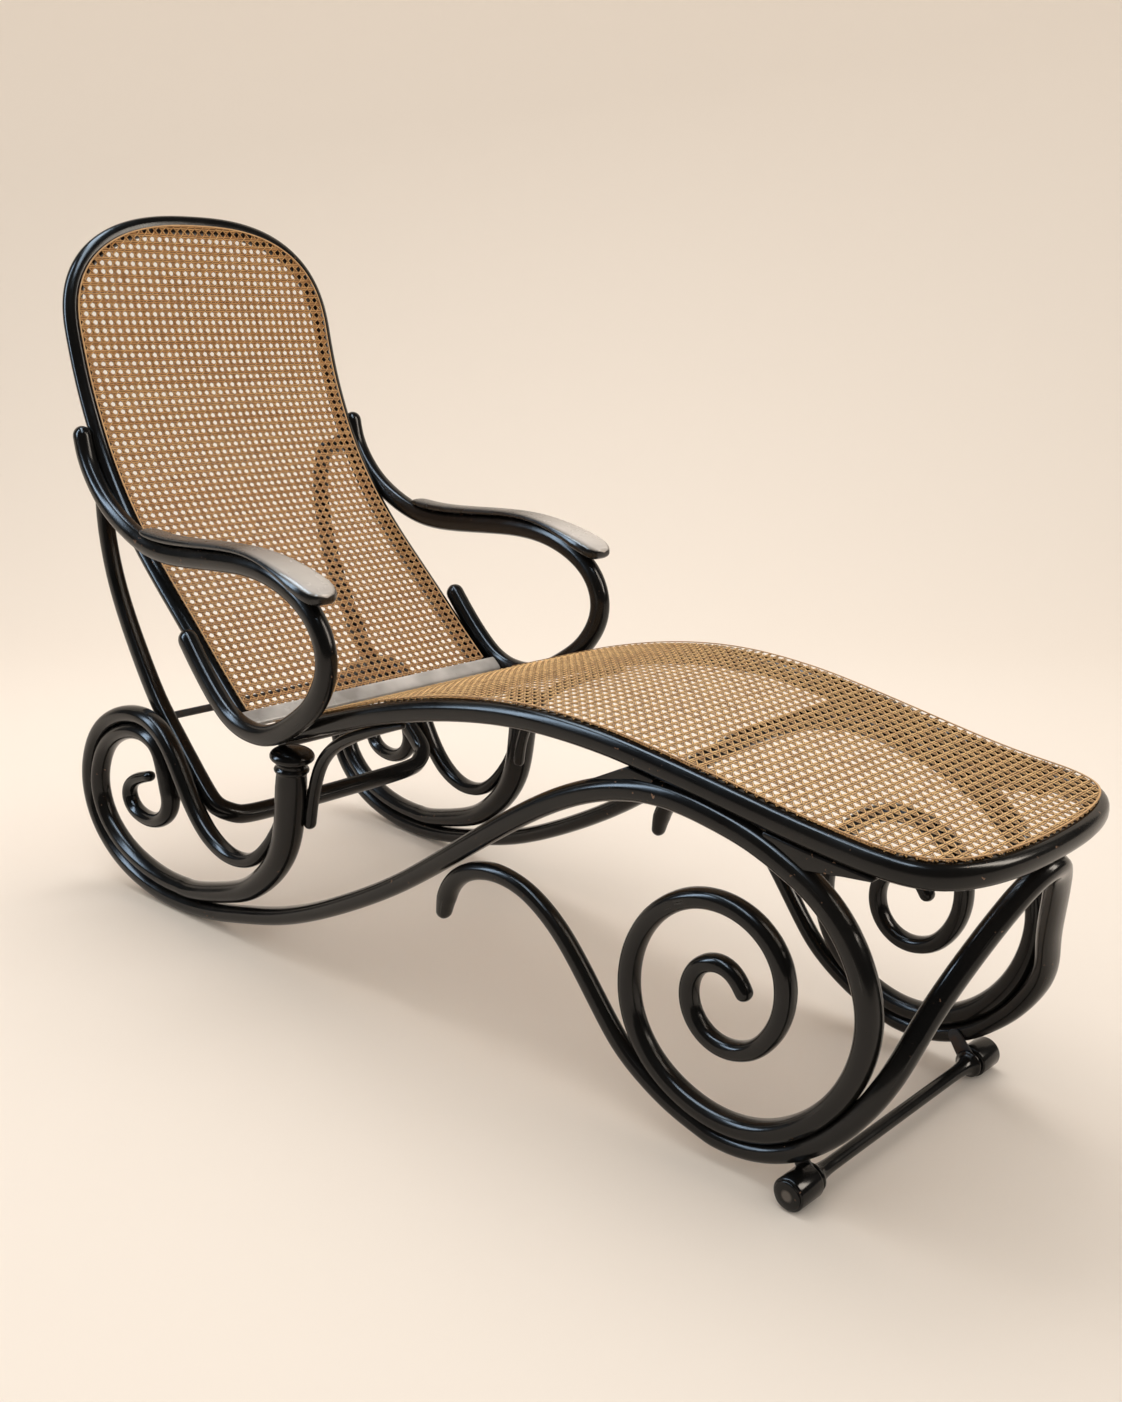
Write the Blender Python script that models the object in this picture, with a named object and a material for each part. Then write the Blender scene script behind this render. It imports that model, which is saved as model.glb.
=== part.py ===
import math

import bpy
import bmesh
import numpy as np
from mathutils import Vector

# Sizes in metres. x runs along the length toward the foot, y across, z up.
# The right hand side (of a person lying in it) is at negative y.
GAP = 0.0003                # working gap between neighbouring pieces
LAP_EASE = 0.0015           # extra gap where two rods that lie together part
RUN_CLEAR = 0.0006          # radial clearance of turning fits
WIDE = 1.15                 # width of a bent rod across, per unit of its thickness
FOOT_WIDE = 1.08            # the same for the foot rod
SIDES = 8                   # flats on a rod's section
FLAT = math.cos(math.pi / SIDES)    # middle to flat, per unit of a rod's half thickness

SIDE_HALF = 0.252           # half spacing of the two side frames at x = 0
SIDE_TAPER = 0.0513         # how much that half spacing narrows per metre
BACK_HALF = 0.2545          # half spacing of the back bow's sides
BACK_ROD = 0.015            # half thickness of the back bow
BACK_TOP = 1.155            # height of the middle of the bow's top
BACK_CORNER = 0.19          # height of the rounded top of the bow
CORNER_POWER = 2.5          # squareness of that rounded top
ARM_ROD = 0.0152            # half thickness of the arms
RAIL_TALL = 0.0165          # half height of the seat rail
RAIL_WIDE = 0.0160          # half width of the seat rail
RAIL_POWER = 2.4            # squareness of the seat rail's section
RAIL_FLAT = FLAT ** (2 / RAIL_POWER)    # middle to flat of the rail, per unit of half size
PROP_HALF = 0.231           # half spacing of the prop's legs
PROP_ROD = 0.0138           # half thickness of the prop at its hinges
PROP_POWER = 3.0            # squareness of the prop's section
PROP_FLAT = FLAT ** (2 / PROP_POWER)    # middle to flat of the prop, per unit of half thickness
CANE_THICK = 0.003          # thickness of a cane panel
CANE_LAP = 0.006            # how far the seat cane reaches past the middle of its rail
BINDER_WIDE = 0.0055        # width of the cane strip round a panel
BINDER_TALL = 0.0018        # thickness of that strip

PIVOT_X = 0.026             # axis the back and arms turn about
PIVOT_Z = 0.384
PIVOT_PIN = 0.005           # radius of the pivot pins
PIVOT_HEAD = 0.0095         # radius of a pivot pin's head
CANE_START = PIVOT_X + PIVOT_HEAD + 0.003   # rear end of the seat cane
PIVOT_PLY = 0.005           # wood left between a pivot pin and the arm's outer face
HINGE_AT = 0.776            # height of the prop's hinge
HINGE_OUT = 0.036           # hinge axis behind the middle of the back bow
HINGE_PIN = 0.004           # radius of the hinge pins
HINGE_HEAD = 0.007          # radius of a hinge pin's heads
HEAD_TALL = 0.003           # height of a pin's head
LUG_WIDE = 0.020            # width of a hinge lug
LUG_TALL = 0.026            # length of a hinge lug along the bow
REST_ROD = 0.007            # radius of the iron rod the prop leans on

AXLE_X = 1.0                # position of the foot axle
ROLLER_R = 0.021            # radius of the foot rollers
ROLLER_LONG = 0.044         # length of the foot rollers
AXLE_R = 0.009              # radius of the axle between its flanges
JOURNAL_R = 0.006           # radius of the axle inside a roller
NECK_R = 0.008              # radius of the axle inside a hanger
FLANGE_R = 0.0185           # radius of the axle's flanges
HANGER_THICK = 0.003        # thickness of the iron hangers
BLOCK_HALF = 0.011          # half width of the blocks under the seat rail

# Side rod: S loop beside the column, rear scroll, runner, crest, front scroll. (x, z)
SIDE_ROD = (
    (-0.024, 0.169), (-0.050, 0.148), (-0.085, 0.138),
    (-0.124, 0.142), (-0.162, 0.159), (-0.193, 0.187), (-0.219, 0.222), (-0.250, 0.274),
    (-0.276, 0.306), (-0.306, 0.326), (-0.344, 0.335), (-0.390, 0.331), (-0.437, 0.315),
    (-0.482, 0.286), (-0.515, 0.244), (-0.533, 0.194), (-0.531, 0.150), (-0.515, 0.110),
    (-0.485, 0.076), (-0.441, 0.047), (-0.381, 0.026), (-0.306, 0.0145), (-0.222, 0.0165),
    (-0.143, 0.028), (-0.067, 0.046), (0.010, 0.066), (0.100, 0.099), (0.200, 0.146),
    (0.300, 0.200), (0.385, 0.255), (0.455, 0.303), (0.520, 0.347), (0.582, 0.386),
    (0.640, 0.416), (0.700, 0.4385), (0.760, 0.4496), (0.815, 0.4487), (0.868, 0.4391),
    (0.915, 0.4268), (0.960, 0.407), (0.994, 0.388), (1.024, 0.362), (1.047, 0.330),
    (1.063, 0.294), (1.071, 0.254), (1.067, 0.212), (1.053, 0.170), (1.030, 0.132),
    (1.000, 0.100), (0.964, 0.075), (0.926, 0.060), (0.886, 0.055), (0.845, 0.061),
    (0.806, 0.077), (0.773, 0.102), (0.750, 0.135), (0.739, 0.169), (0.737, 0.203),
    (0.744, 0.240), (0.762, 0.277), (0.789, 0.307), (0.822, 0.328), (0.856, 0.337),
    (0.889, 0.336), (0.920, 0.325), (0.945, 0.304), (0.960, 0.277), (0.964, 0.248),
    (0.960, 0.219), (0.947, 0.191), (0.927, 0.168), (0.902, 0.156), (0.876, 0.154),
    (0.852, 0.164), (0.835, 0.184), (0.829, 0.209), (0.834, 0.233), (0.848, 0.251),
    (0.868, 0.259), (0.886, 0.256), (0.899, 0.246), (0.908, 0.233),
)
# Half thickness of a rod along its length: (share of the length, half thickness).
SIDE_ROD_THICK = (
    (0.0, 0.0125), (0.06, 0.0145), (0.15, 0.0158), (0.45, 0.0150), (0.60, 0.0165),
    (0.71, 0.0150), (0.82, 0.0125), (0.93, 0.0105), (1.0, 0.0075),
)
# Rear column from its turned top down, then the curl it ends in. (x, z)
COLUMN_TOP = (0.073, 0.3626)
COLUMN = (
    COLUMN_TOP, (0.0685, 0.330), (0.064, 0.295), (0.058, 0.258), (0.049, 0.216),
    (0.031, 0.178), (0.000, 0.140), (-0.045, 0.105), (-0.100, 0.078),
)
COLUMN_THICK = ((0.0, 0.0255), (0.35, 0.0240), (0.7, 0.0195), (1.0, 0.0165))
TURNING = (                 # turned top: (distance below the top, radius per shaft radius)
    (0.000, 1.15), (0.0025, 1.30), (0.0080, 1.33), (0.0120, 1.12), (0.0155, 0.92),
    (0.0190, 0.90), (0.0215, 1.02), (0.0255, 1.04), (0.0290, 0.93), (0.0330, 0.95),
)
CURL = (
    (-0.281, 0.224), (-0.276, 0.198), (-0.289, 0.170), (-0.319, 0.152), (-0.352, 0.147),
    (-0.384, 0.153), (-0.402, 0.168), (-0.406, 0.187), (-0.394, 0.205), (-0.369, 0.218),
    (-0.338, 0.228),
)
CURL_THICK = ((0.0, 0.0160), (0.3, 0.0150), (0.75, 0.0105), (1.0, 0.0070))
BESIDE_FROM = (-0.262, 0.290)   # stretch of the side rod the rear scroll lies against
BESIDE_TO = (-0.190, 0.024)

# Foot rod: hooked end, then along the outside of the front scroll, then the rising leg.
HOOK = (
    (0.402, 0.190), (0.411, 0.221), (0.430, 0.247), (0.456, 0.264), (0.485, 0.273),
    (0.518, 0.275), (0.556, 0.267), (0.589, 0.250), (0.620, 0.226), (0.647, 0.197),
    (0.677, 0.159), (0.707, 0.121), (0.740, 0.088),
)
HOOK_THICK = ((0.0, 0.0105), (0.08, 0.0130), (0.3, 0.0120), (1.0, 0.0125))
UNDER_FROM = (1.035, 0.140)     # stretch of the front scroll the foot rod lies against
UNDER_TO = (0.800, 0.080)
LEG = ((1.093, -0.182, 0.185), (1.110, -0.143, 0.252), (1.135, -0.096, 0.324),
       (1.156, -0.051, 0.379), (1.167, -0.018, 0.4020))
LEG_THICK = 0.0148

# Seat rail: side profile (x, z), then the corner and the front edge (x, y).
RAIL_SIDE = (
    (0.010, 0.3720), (0.046, 0.382), (0.115, 0.404), (0.212, 0.435), (0.293, 0.459),
    (0.381, 0.480), (0.459, 0.4935), (0.529, 0.501), (0.600, 0.503), (0.675, 0.499),
    (0.746, 0.491), (0.862, 0.4715), (0.957, 0.4545), (1.030, 0.4440), (1.085, 0.4390),
)
RAIL_FRONT = ((1.126, -0.180), (1.152, -0.145), (1.166, -0.097), (1.172, -0.045))
FRONT_X = 1.173
FRONT_Z = 0.4360
CROSS_X = 0.023             # cross rail at the rear of the seat
CROSS_Z = 0.3610
CROSS_ROD = 0.0130

# Back: side profile of the bow from the seat up (x, z).
BACK = (
    (-0.028, 0.366), (-0.072, 0.398), (-0.117, 0.433), (-0.160, 0.470), (-0.204, 0.510),
    (-0.278, 0.577), (-0.340, 0.640), (-0.390, 0.703), (-0.427, 0.765), (-0.454, 0.825),
    (-0.476, 0.890), (-0.492, 0.950), (-0.504, 1.010), (-0.514, 1.080), (-0.522, BACK_TOP),
)
SILL_LONG = 0.030           # bottom bar of the back, along the slope
SILL_THICK = 0.012
SILL_AT = 0.015             # its middle, up the slope from the end of the bow
SILL_TOP = SILL_AT + SILL_LONG / 2 + 0.001

# Arm: from its upper end on the back, forward under the pad, round and up again. (x, z)
ARM = (
    (-0.447, 0.808), (-0.440, 0.778), (-0.423, 0.747), (-0.397, 0.716), (-0.362, 0.688),
    (-0.320, 0.666), (-0.278, 0.650), (-0.230, 0.639), (-0.171, 0.636), (-0.100, 0.639),
    (-0.030, 0.643), (0.030, 0.644), (0.082, 0.639), (0.128, 0.627), (0.167, 0.609),
    (0.197, 0.585), (0.214, 0.557), (0.219, 0.529), (0.213, 0.501), (0.197, 0.474),
    (0.172, 0.447), (0.137, 0.423), (0.100, 0.402), (0.062, 0.388), (0.026, 0.384),
    (-0.012, 0.388), (-0.047, 0.402), (-0.081, 0.428), (-0.111, 0.457), (-0.134, 0.482),
    (-0.152, 0.503),
)
# Arm pad: (x, height of its top, half width)
PAD = (
    (-0.272, 0.6650, 0.0110), (-0.240, 0.6625, 0.0155), (-0.180, 0.6630, 0.0175),
    (-0.110, 0.6665, 0.0185), (-0.040, 0.6700, 0.0195), (0.025, 0.6715, 0.0215),
    (0.080, 0.6680, 0.0255), (0.128, 0.6600, 0.0290), (0.168, 0.6520, 0.0300),
    (0.200, 0.6430, 0.0265), (0.222, 0.6345, 0.0180),
)
PAD_THICK = 0.014

# Brace between the column and the seat rail. (x, z)
BRACE = (
    (0.0892, 0.236), (0.0945, 0.272), (0.1035, 0.307), (0.120, 0.342), (0.149, 0.372),
    (0.190, 0.3985), (0.238, 0.4165), (0.290, 0.4325),
)
BRACE_THICK = ((0.0, 0.0118), (0.3, 0.0125), (0.7, 0.0110), (1.0, 0.0085))

# Prop: leg from the hinge down, then the corner and the bar across. (x, y, z)
PROP_LEG = (
    (-0.487, 0.720), (-0.491, 0.660), (-0.484, 0.605), (-0.470, 0.553), (-0.446, 0.498),
    (-0.416, 0.445), (-0.383, 0.393), (-0.348, 0.346), (-0.305, 0.303), (-0.264, 0.263),
    (-0.214, 0.217),
)
PROP_CORNER = ((-0.192, -0.225, 0.197), (-0.178, -0.201, 0.184), (-0.172, -0.163, 0.177))
PROP_BAR = (-0.172, 0.176)
PROP_THICK = ((0.0, PROP_ROD), (0.2, 0.0150), (0.36, 0.0156), (0.64, 0.0156), (0.8, 0.0150),
              (1.0, PROP_ROD))
PROP_LEAN = (-0.343, 0.338)  # where the prop leans on its rod

BLACK = ("ebonised_wood", (0.012, 0.011, 0.010), 0.32, 0.0)
WORN = ("worn_ebonised_wood", (0.030, 0.027, 0.024), 0.28, 0.0)
CANE = ("cane", (0.55, 0.34, 0.15), 0.55, 0.0)
IRON = ("iron", (0.05, 0.05, 0.052), 0.45, 0.9)


def fresh_scene():
    for obj in list(bpy.data.objects):
        bpy.data.objects.remove(obj)
    parts = bpy.data.collections.new("caned_chaise_longue")
    cutters = bpy.data.collections.new("cutters")
    bpy.context.scene.collection.children.link(parts)
    bpy.context.scene.collection.children.link(cutters)
    return parts, cutters


def material(spec):
    name, colour, rough, metal = spec
    mat = bpy.data.materials.get(name)
    if mat is None:
        mat = bpy.data.materials.new(name)
        mat.use_nodes = True
        shader = mat.node_tree.nodes["Principled BSDF"]
        shader.inputs["Base Color"].default_value = colour + (1.0,)
        shader.inputs["Roughness"].default_value = rough
        shader.inputs["Metallic"].default_value = metal
    return mat


def add(name, bm, spec, collection):
    bmesh.ops.remove_doubles(bm, verts=bm.verts, dist=0.00001)
    bmesh.ops.recalc_face_normals(bm, faces=bm.faces)
    mesh = bpy.data.meshes.new(name)
    bm.to_mesh(mesh)
    bm.free()
    mesh.materials.append(material(spec))
    obj = bpy.data.objects.new(name, mesh)
    collection.objects.link(obj)
    return obj


def blur(points):
    out = points.copy()
    out[1:-1] = (points[:-2] + 4 * points[1:-1] + points[2:]) / 6
    return out


def smooth(points, step=16):
    # Cubic B-spline held at both ends, its points moved out so that it keeps to the given ones.
    given = np.array(points, float)
    ctrl = given + (given - blur(given))
    ctrl = np.vstack([2 * ctrl[:1] - ctrl[1:2], ctrl, 2 * ctrl[-1:] - ctrl[-2:-1]])
    rows = []
    for i in range(len(ctrl) - 3):
        for t in np.linspace(0, 1, step, endpoint=False):
            weight = ((1 - t) ** 3, 3 * t ** 3 - 6 * t ** 2 + 4,
                      -3 * t ** 3 + 3 * t ** 2 + 3 * t + 1, t ** 3)
            rows.append(sum(w * ctrl[i + k] for k, w in enumerate(weight)) / 6)
    rows.append(given[-1])
    return np.array(rows)


def stations(path, turn=15.0, reach=0.09):
    # Points along a path that lie closer together where it bends.
    step = np.diff(path, axis=0)
    length = np.linalg.norm(step, axis=1)
    way = step / length[:, None]
    bend = np.arccos(np.clip((way[1:] * way[:-1]).sum(axis=1), -1, 1))
    bend = np.concatenate([[0], bend])
    run = np.concatenate([[0], np.cumsum(np.hypot(bend / math.radians(turn), length / reach))])
    count = max(2, math.ceil(run[-1]))
    marks = np.linspace(0, run[-1], count + 1)
    return np.stack([np.interp(marks, run, path[:, k]) for k in range(path.shape[1])], axis=1)


def shares(points):
    run = np.concatenate([[0], np.cumsum(np.linalg.norm(np.diff(points, axis=0), axis=1))])
    return run / run[-1]


def taper(points, table):
    share, half = zip(*table)
    return np.interp(shares(points), share, half)


def tangents(points):
    way = np.gradient(np.asarray(points, float), axis=0)
    return way / np.linalg.norm(way, axis=1)[:, None]


def beside(points, away):
    # Offset a flat (x, z) path to its left.
    way = tangents(points)
    left = np.stack([-way[:, 1], way[:, 0]], axis=1)
    return points + left * np.reshape(away, (-1, 1))


def lap(line, half, first, last, own):
    # Path of a rod that lies against a stretch of another, station by station.
    away = half * FLAT + GAP
    away[first:last + 1] += own * FLAT
    away[[first, first + 1, last - 1, last]] += LAP_EASE
    return beside(line, away)[first:last + 1]


def side_y(x):
    return SIDE_HALF - SIDE_TAPER * x


def on_side(points, hand):
    return np.array([(x, hand * side_y(x), z) for x, z in points])


def side_normal(hand):
    return Vector((hand * SIDE_TAPER, 1.0, 0.0)).normalized()


def nearest(points, spot):
    return int(np.argmin(np.linalg.norm(np.asarray(points) - np.array(spot), axis=1)))


def rod(name, centres, across, thick, width, spec, collection, sides=SIDES, ends=True, power=2.0):
    # Sweep an oval section along a path; `across` points along the section's width.
    centres = np.asarray(centres, float)
    way = tangents(centres)
    count = len(centres)
    thick = np.broadcast_to(thick, count)
    width = np.broadcast_to(width, count)
    rings = []
    for i in range(count):
        t = Vector(way[i])
        axis = Vector(across[i]) if not isinstance(across, Vector) else across
        s = (axis - t * axis.dot(t)).normalized()
        rings.append((Vector(centres[i]), t, s, t.cross(s), thick[i], width[i]))
    if ends:
        dome = ((0.80, 0.55), (0.45, 0.86))
        first, last = rings[0], rings[-1]
        for out, size in dome[::-1]:
            rings.insert(0, (first[0] - first[1] * first[4] * out, *first[1:4],
                             first[4] * size, first[5] * size))
        for out, size in dome[::-1]:
            rings.append((last[0] + last[1] * last[4] * out, *last[1:4],
                          last[4] * size, last[5] * size))
    bm = bmesh.new()
    loops = []
    for centre, t, s, n, half, wide in rings:
        loop = []
        for k in range(sides):
            angle = 2 * math.pi * (k + 0.5) / sides
            c, d = math.cos(angle), math.sin(angle)
            u = math.copysign(abs(c) ** (2 / power), c) * wide
            v = math.copysign(abs(d) ** (2 / power), d) * half
            loop.append(bm.verts.new(centre + s * u + n * v))
        loops.append(loop)
    for low, high in zip(loops, loops[1:]):
        for k in range(sides):
            m = (k + 1) % sides
            bm.faces.new((low[k], low[m], high[m], high[k]))
    bm.faces.new(loops[0][::-1])
    bm.faces.new(loops[-1])
    return add(name, bm, spec, collection)


def turned(name, profile, centre, spec, collection, steps=16):
    # Turn a closed profile of (radius, y) about the y direction through `centre`.
    bm = bmesh.new()
    verts = [bm.verts.new((r, y, 0.0)) for r, y in profile]
    edges = [bm.edges.new((a, b)) for a, b in zip(verts, verts[1:] + verts[:1])]
    bmesh.ops.spin(bm, geom=verts + edges, cent=(0, 0, 0), axis=(0, 1, 0),
                   angle=2 * math.pi, steps=steps, use_merge=True)
    bmesh.ops.remove_doubles(bm, verts=bm.verts, dist=0.00002)
    bmesh.ops.dissolve_degenerate(bm, edges=bm.edges, dist=0.00002)
    loose = [e for e in bm.edges if not e.link_faces]
    bmesh.ops.delete(bm, geom=loose, context="EDGES")
    obj = add(name, bm, spec, collection)
    obj.location = centre
    return obj


def plate(name, outline, low, high, spec, collection):
    # Raise a flat outline: matching points on the low and the high face.
    bm = bmesh.new()
    bottom = [bm.verts.new(low(p)) for p in outline]
    top = [bm.verts.new(high(p)) for p in outline]
    bm.faces.new(bottom[::-1])
    bm.faces.new(top)
    for i in range(len(outline)):
        j = (i + 1) % len(outline)
        bm.faces.new((bottom[i], bottom[j], top[j], top[i]))
    return add(name, bm, spec, collection)


def panel(name, right, lift, thick, spec, collection, columns=4):
    # Thin sheet between an edge at the right and its mirror image at the left.
    bm = bmesh.new()
    rows = []
    for edge, up in zip(right, lift):
        row = []
        for k in range(columns + 1):
            y = edge[1] * (1 - 2 * k / columns)
            spot = Vector((edge[0], y, edge[2]))
            row.append((bm.verts.new(spot + up * thick / 2), bm.verts.new(spot - up * thick / 2)))
        rows.append(row)
    for a, b in zip(rows, rows[1:]):
        for k in range(columns):
            bm.faces.new((a[k][0], b[k][0], b[k + 1][0], a[k + 1][0]))
            bm.faces.new((a[k][1], a[k + 1][1], b[k + 1][1], b[k][1]))
        bm.faces.new((a[0][0], a[0][1], b[0][1], b[0][0]))
        bm.faces.new((a[-1][0], b[-1][0], b[-1][1], a[-1][1]))
    for row in (rows[0], rows[-1]):
        for k in range(columns):
            bm.faces.new((row[k][0], row[k + 1][0], row[k + 1][1], row[k][1]))
    return add(name, bm, spec, collection)


def bore(obj, radius, start, end, cutters, label, sides=16):
    # Cut a round hole from one point to another.
    a, b = Vector(start), Vector(end)
    bm = bmesh.new()
    bmesh.ops.create_cone(bm, cap_ends=True, segments=sides, radius1=radius, radius2=radius,
                          depth=(b - a).length)
    turn = Vector((0, 0, 1)).rotation_difference(b - a)
    bmesh.ops.rotate(bm, cent=(0, 0, 0), matrix=turn.to_matrix(), verts=bm.verts)
    bmesh.ops.translate(bm, vec=(a + b) / 2, verts=bm.verts)
    cutter = add(label, bm, IRON, cutters)
    cutter.hide_render = True
    cutter.display_type = "WIRE"
    mod = obj.modifiers.new(label, "BOOLEAN")
    mod.operation = "DIFFERENCE"
    mod.solver = "EXACT"
    mod.object = cutter


def pin(name, radius, head, start, end, spec, collection, both=False):
    # Round pin along y with a domed head at its start, or at both ends.
    y0, y1 = start[1], end[1]
    out = math.copysign(HEAD_TALL, y0 - y1)
    profile = [(0.0, y0 + out), (head * 0.7, y0 + out), (head, y0 + out * 0.4), (head, y0),
               (radius, y0), (radius, y1)]
    if both:
        profile += [(head, y1), (head, y1 - out * 0.4), (head * 0.7, y1 - out), (0.0, y1 - out)]
    else:
        profile += [(0.0, y1)]
    return turned(name, profile, (start[0], 0.0, start[2]), spec, collection, steps=14)


def side_name(hand):
    return "right" if hand < 0 else "left"


def build_side_rods(parts):
    line = stations(smooth(SIDE_ROD))
    half = taper(line, SIDE_ROD_THICK)
    line[:, 1] -= (line[:, 1] - half * FLAT).min()
    for hand in (-1, 1):
        rod("side_rod_" + side_name(hand), on_side(line, hand), side_normal(hand), half,
            half * WIDE, BLACK, parts)
    return line, half


def build_rear_scrolls(parts, line, half):
    first, last = nearest(line, BESIDE_FROM), nearest(line, BESIDE_TO)
    own = np.full(last + 1 - first, CURL_THICK[0][1])
    own[-3:] = np.linspace(CURL_THICK[0][1], COLUMN_THICK[-1][1], 3)
    against = lap(line, half, first, last, own)[::-1]
    own = own[::-1]

    column = smooth(np.vstack([COLUMN, against[:2]]))
    depth = np.linalg.norm(column - column[0], axis=1)
    below = TURNING[-1][0]
    shaft = stations(column[depth > below + 0.004])
    head = np.array([[np.interp(d, depth[:60], column[:60, k]) for k in (0, 1)] for d, _ in TURNING])
    column = np.vstack([head, shaft])
    column_half = taper(column, COLUMN_THICK)
    column_half[:len(head)] *= [r for _, r in TURNING]
    round_shaft = np.interp(shares(column), (0.0, 0.35, 0.8, 1.0), (1.0, 1.0, WIDE, WIDE))

    curl = stations(smooth(np.vstack([against[-2:], CURL])))
    curl_half = taper(curl, CURL_THICK)
    path = np.vstack([column, against[2:-2], curl])
    thick = np.concatenate([column_half, own[2:-2], curl_half])
    ratio = np.concatenate([round_shaft, np.full(len(path) - len(column), WIDE)])
    for hand in (-1, 1):
        rod("rear_scroll_" + side_name(hand), on_side(path, hand), side_normal(hand), thick,
            thick * ratio, BLACK, parts, ends=False)


def build_foot_rod(parts, line, half):
    first, last = nearest(line, UNDER_FROM), nearest(line, UNDER_TO)
    own = np.linspace(LEG_THICK * 0.9, HOOK_THICK[-1][1], last + 1 - first)
    against = lap(line, half, first, last, own)[::-1]
    own = own[::-1]
    hook = stations(smooth(np.vstack([HOOK, against[:2]])))
    flat = np.vstack([hook, against[2:-2]])
    flat_half = np.concatenate([taper(hook, HOOK_THICK), own[2:-2]])
    right = on_side(flat, -1)
    start = on_side(against[-2:], -1)
    mirror = np.array((1.0, -1.0, 1.0))
    arch = np.vstack([start, LEG, (np.array(LEG) * mirror)[::-1], (start * mirror)[::-1]])
    arch = stations(smooth(arch))
    arch_half = np.interp(shares(arch), (0.0, 0.15, 0.85, 1.0),
                          (own[-2], LEG_THICK, LEG_THICK, own[-2]))
    path = np.vstack([right, arch, (right * mirror)[::-1]])
    thick = np.concatenate([flat_half, arch_half, flat_half[::-1]])
    across = carried(path, side_normal(-1))
    rod("foot_rod", path, across, thick, thick * FOOT_WIDE, BLACK, parts)
    return flat, flat_half


def carried(path, axis):
    # Carry the section's width axis along a path without a twist.
    axes = []
    for t in tangents(path):
        t = Vector(t)
        axis = (axis - t * axis.dot(t)).normalized()
        axes.append(axis)
    return axes


def build_seat(parts, cutters):
    side = [(x, -side_y(x), z) for x, z in RAIL_SIDE]
    front = [(x, y, FRONT_Z) for x, y in RAIL_FRONT]
    mirror = np.array((1.0, -1.0, 1.0))
    right = np.array(side + front)
    nose = np.array([(FRONT_X, 0.0, FRONT_Z)])
    path = smooth(np.vstack([right, nose, (right * mirror)[::-1]]))
    middle = len(path) // 2
    half = stations(path[:middle + 1])
    path = np.vstack([half, (half[:-1] * mirror)[::-1]])
    way = tangents(path)
    up = Vector((0, 0, 1))
    across = [Vector(t).cross(up).normalized() for t in way]
    rail = rod("seat_rail", path, across, RAIL_TALL, RAIL_WIDE, BLACK, parts, power=RAIL_POWER)

    rows = len(half) - 1
    lifts = [Vector(across[i]).cross(Vector(way[i])).normalized() for i in range(rows)]
    inward = [-Vector(across[i]) for i in range(rows)]
    share = (CANE_START - half[0][0]) / (half[1][0] - half[0][0])
    middle = [Vector(half[0]).lerp(Vector(half[1]), share)] + [Vector(p) for p in half[1:rows]]
    rise = RAIL_TALL * RAIL_FLAT + GAP + CANE_THICK / 2
    edge = [middle[i] - inward[i] * CANE_LAP + lifts[i] * rise for i in range(rows)]
    panel("seat_cane", edge, lifts, CANE_THICK, CANE, parts)
    rise += CANE_THICK / 2 + BINDER_TALL / 2 + GAP
    strip = [middle[i] + inward[i] * (BINDER_WIDE - CANE_LAP) + lifts[i] * rise
             for i in range(rows)]
    binder("seat_cane_binder", strip, lifts, parts)

    reach = side_y(CROSS_X + CROSS_ROD) - RAIL_WIDE * RAIL_FLAT - GAP
    rod("seat_cross_rail", [(CROSS_X, y, CROSS_Z) for y in (-reach, 0.0, reach)], Vector((1, 0, 0)),
        CROSS_ROD, CROSS_ROD, BLACK, parts, ends=False)
    for hand in (-1, 1):
        bore(rail, PIVOT_PIN + GAP, (PIVOT_X, hand * (side_y(PIVOT_X) - 0.04), PIVOT_Z),
             (PIVOT_X, hand * (side_y(PIVOT_X) + 0.04), PIVOT_Z), cutters,
             "rail_bore_" + side_name(hand))
    return half


def binder(name, strip, lifts, parts):
    mirror = Vector((1.0, -1.0, 1.0))
    path = list(strip) + [p * mirror for p in reversed(strip)]
    ups = list(lifts) + [u * mirror for u in reversed(lifts)]
    way = tangents(np.array([tuple(p) for p in path]))
    across = [Vector(t).cross(u).normalized() for t, u in zip(way, ups)]
    corner = math.sqrt(2)
    rod(name, [tuple(p) for p in path], across, BINDER_TALL / 2 * corner, BINDER_WIDE / 2 * corner,
        CANE, parts, sides=4, ends=False)


def back_frame():
    # Stations of the bow's right half from the seat to the middle of the top.
    profile = smooth(BACK)
    corner = BACK_TOP - BACK_CORNER
    straight = stations(profile[profile[:, 1] < corner])
    rows = [(x, -BACK_HALF, z) for x, z in straight]
    order = np.argsort(profile[:, 1])
    for angle in np.linspace(8, 90, 9):
        c = math.cos(math.radians(angle)) ** (2 / CORNER_POWER)
        s = math.sin(math.radians(angle)) ** (2 / CORNER_POWER)
        z = corner + BACK_CORNER * s
        x = np.interp(z, profile[order, 1], profile[order, 0])
        rows.append((x, -BACK_HALF * (c if angle < 90 else 0.0), z))
    return np.array(rows), profile


def front_normal(profile, z):
    way = tangents(profile)
    i = int(np.argmin(np.abs(profile[:, 1] - z)))
    return Vector((way[i, 1], 0.0, -way[i, 0])), Vector((way[i, 0], 0.0, way[i, 1]))


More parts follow.
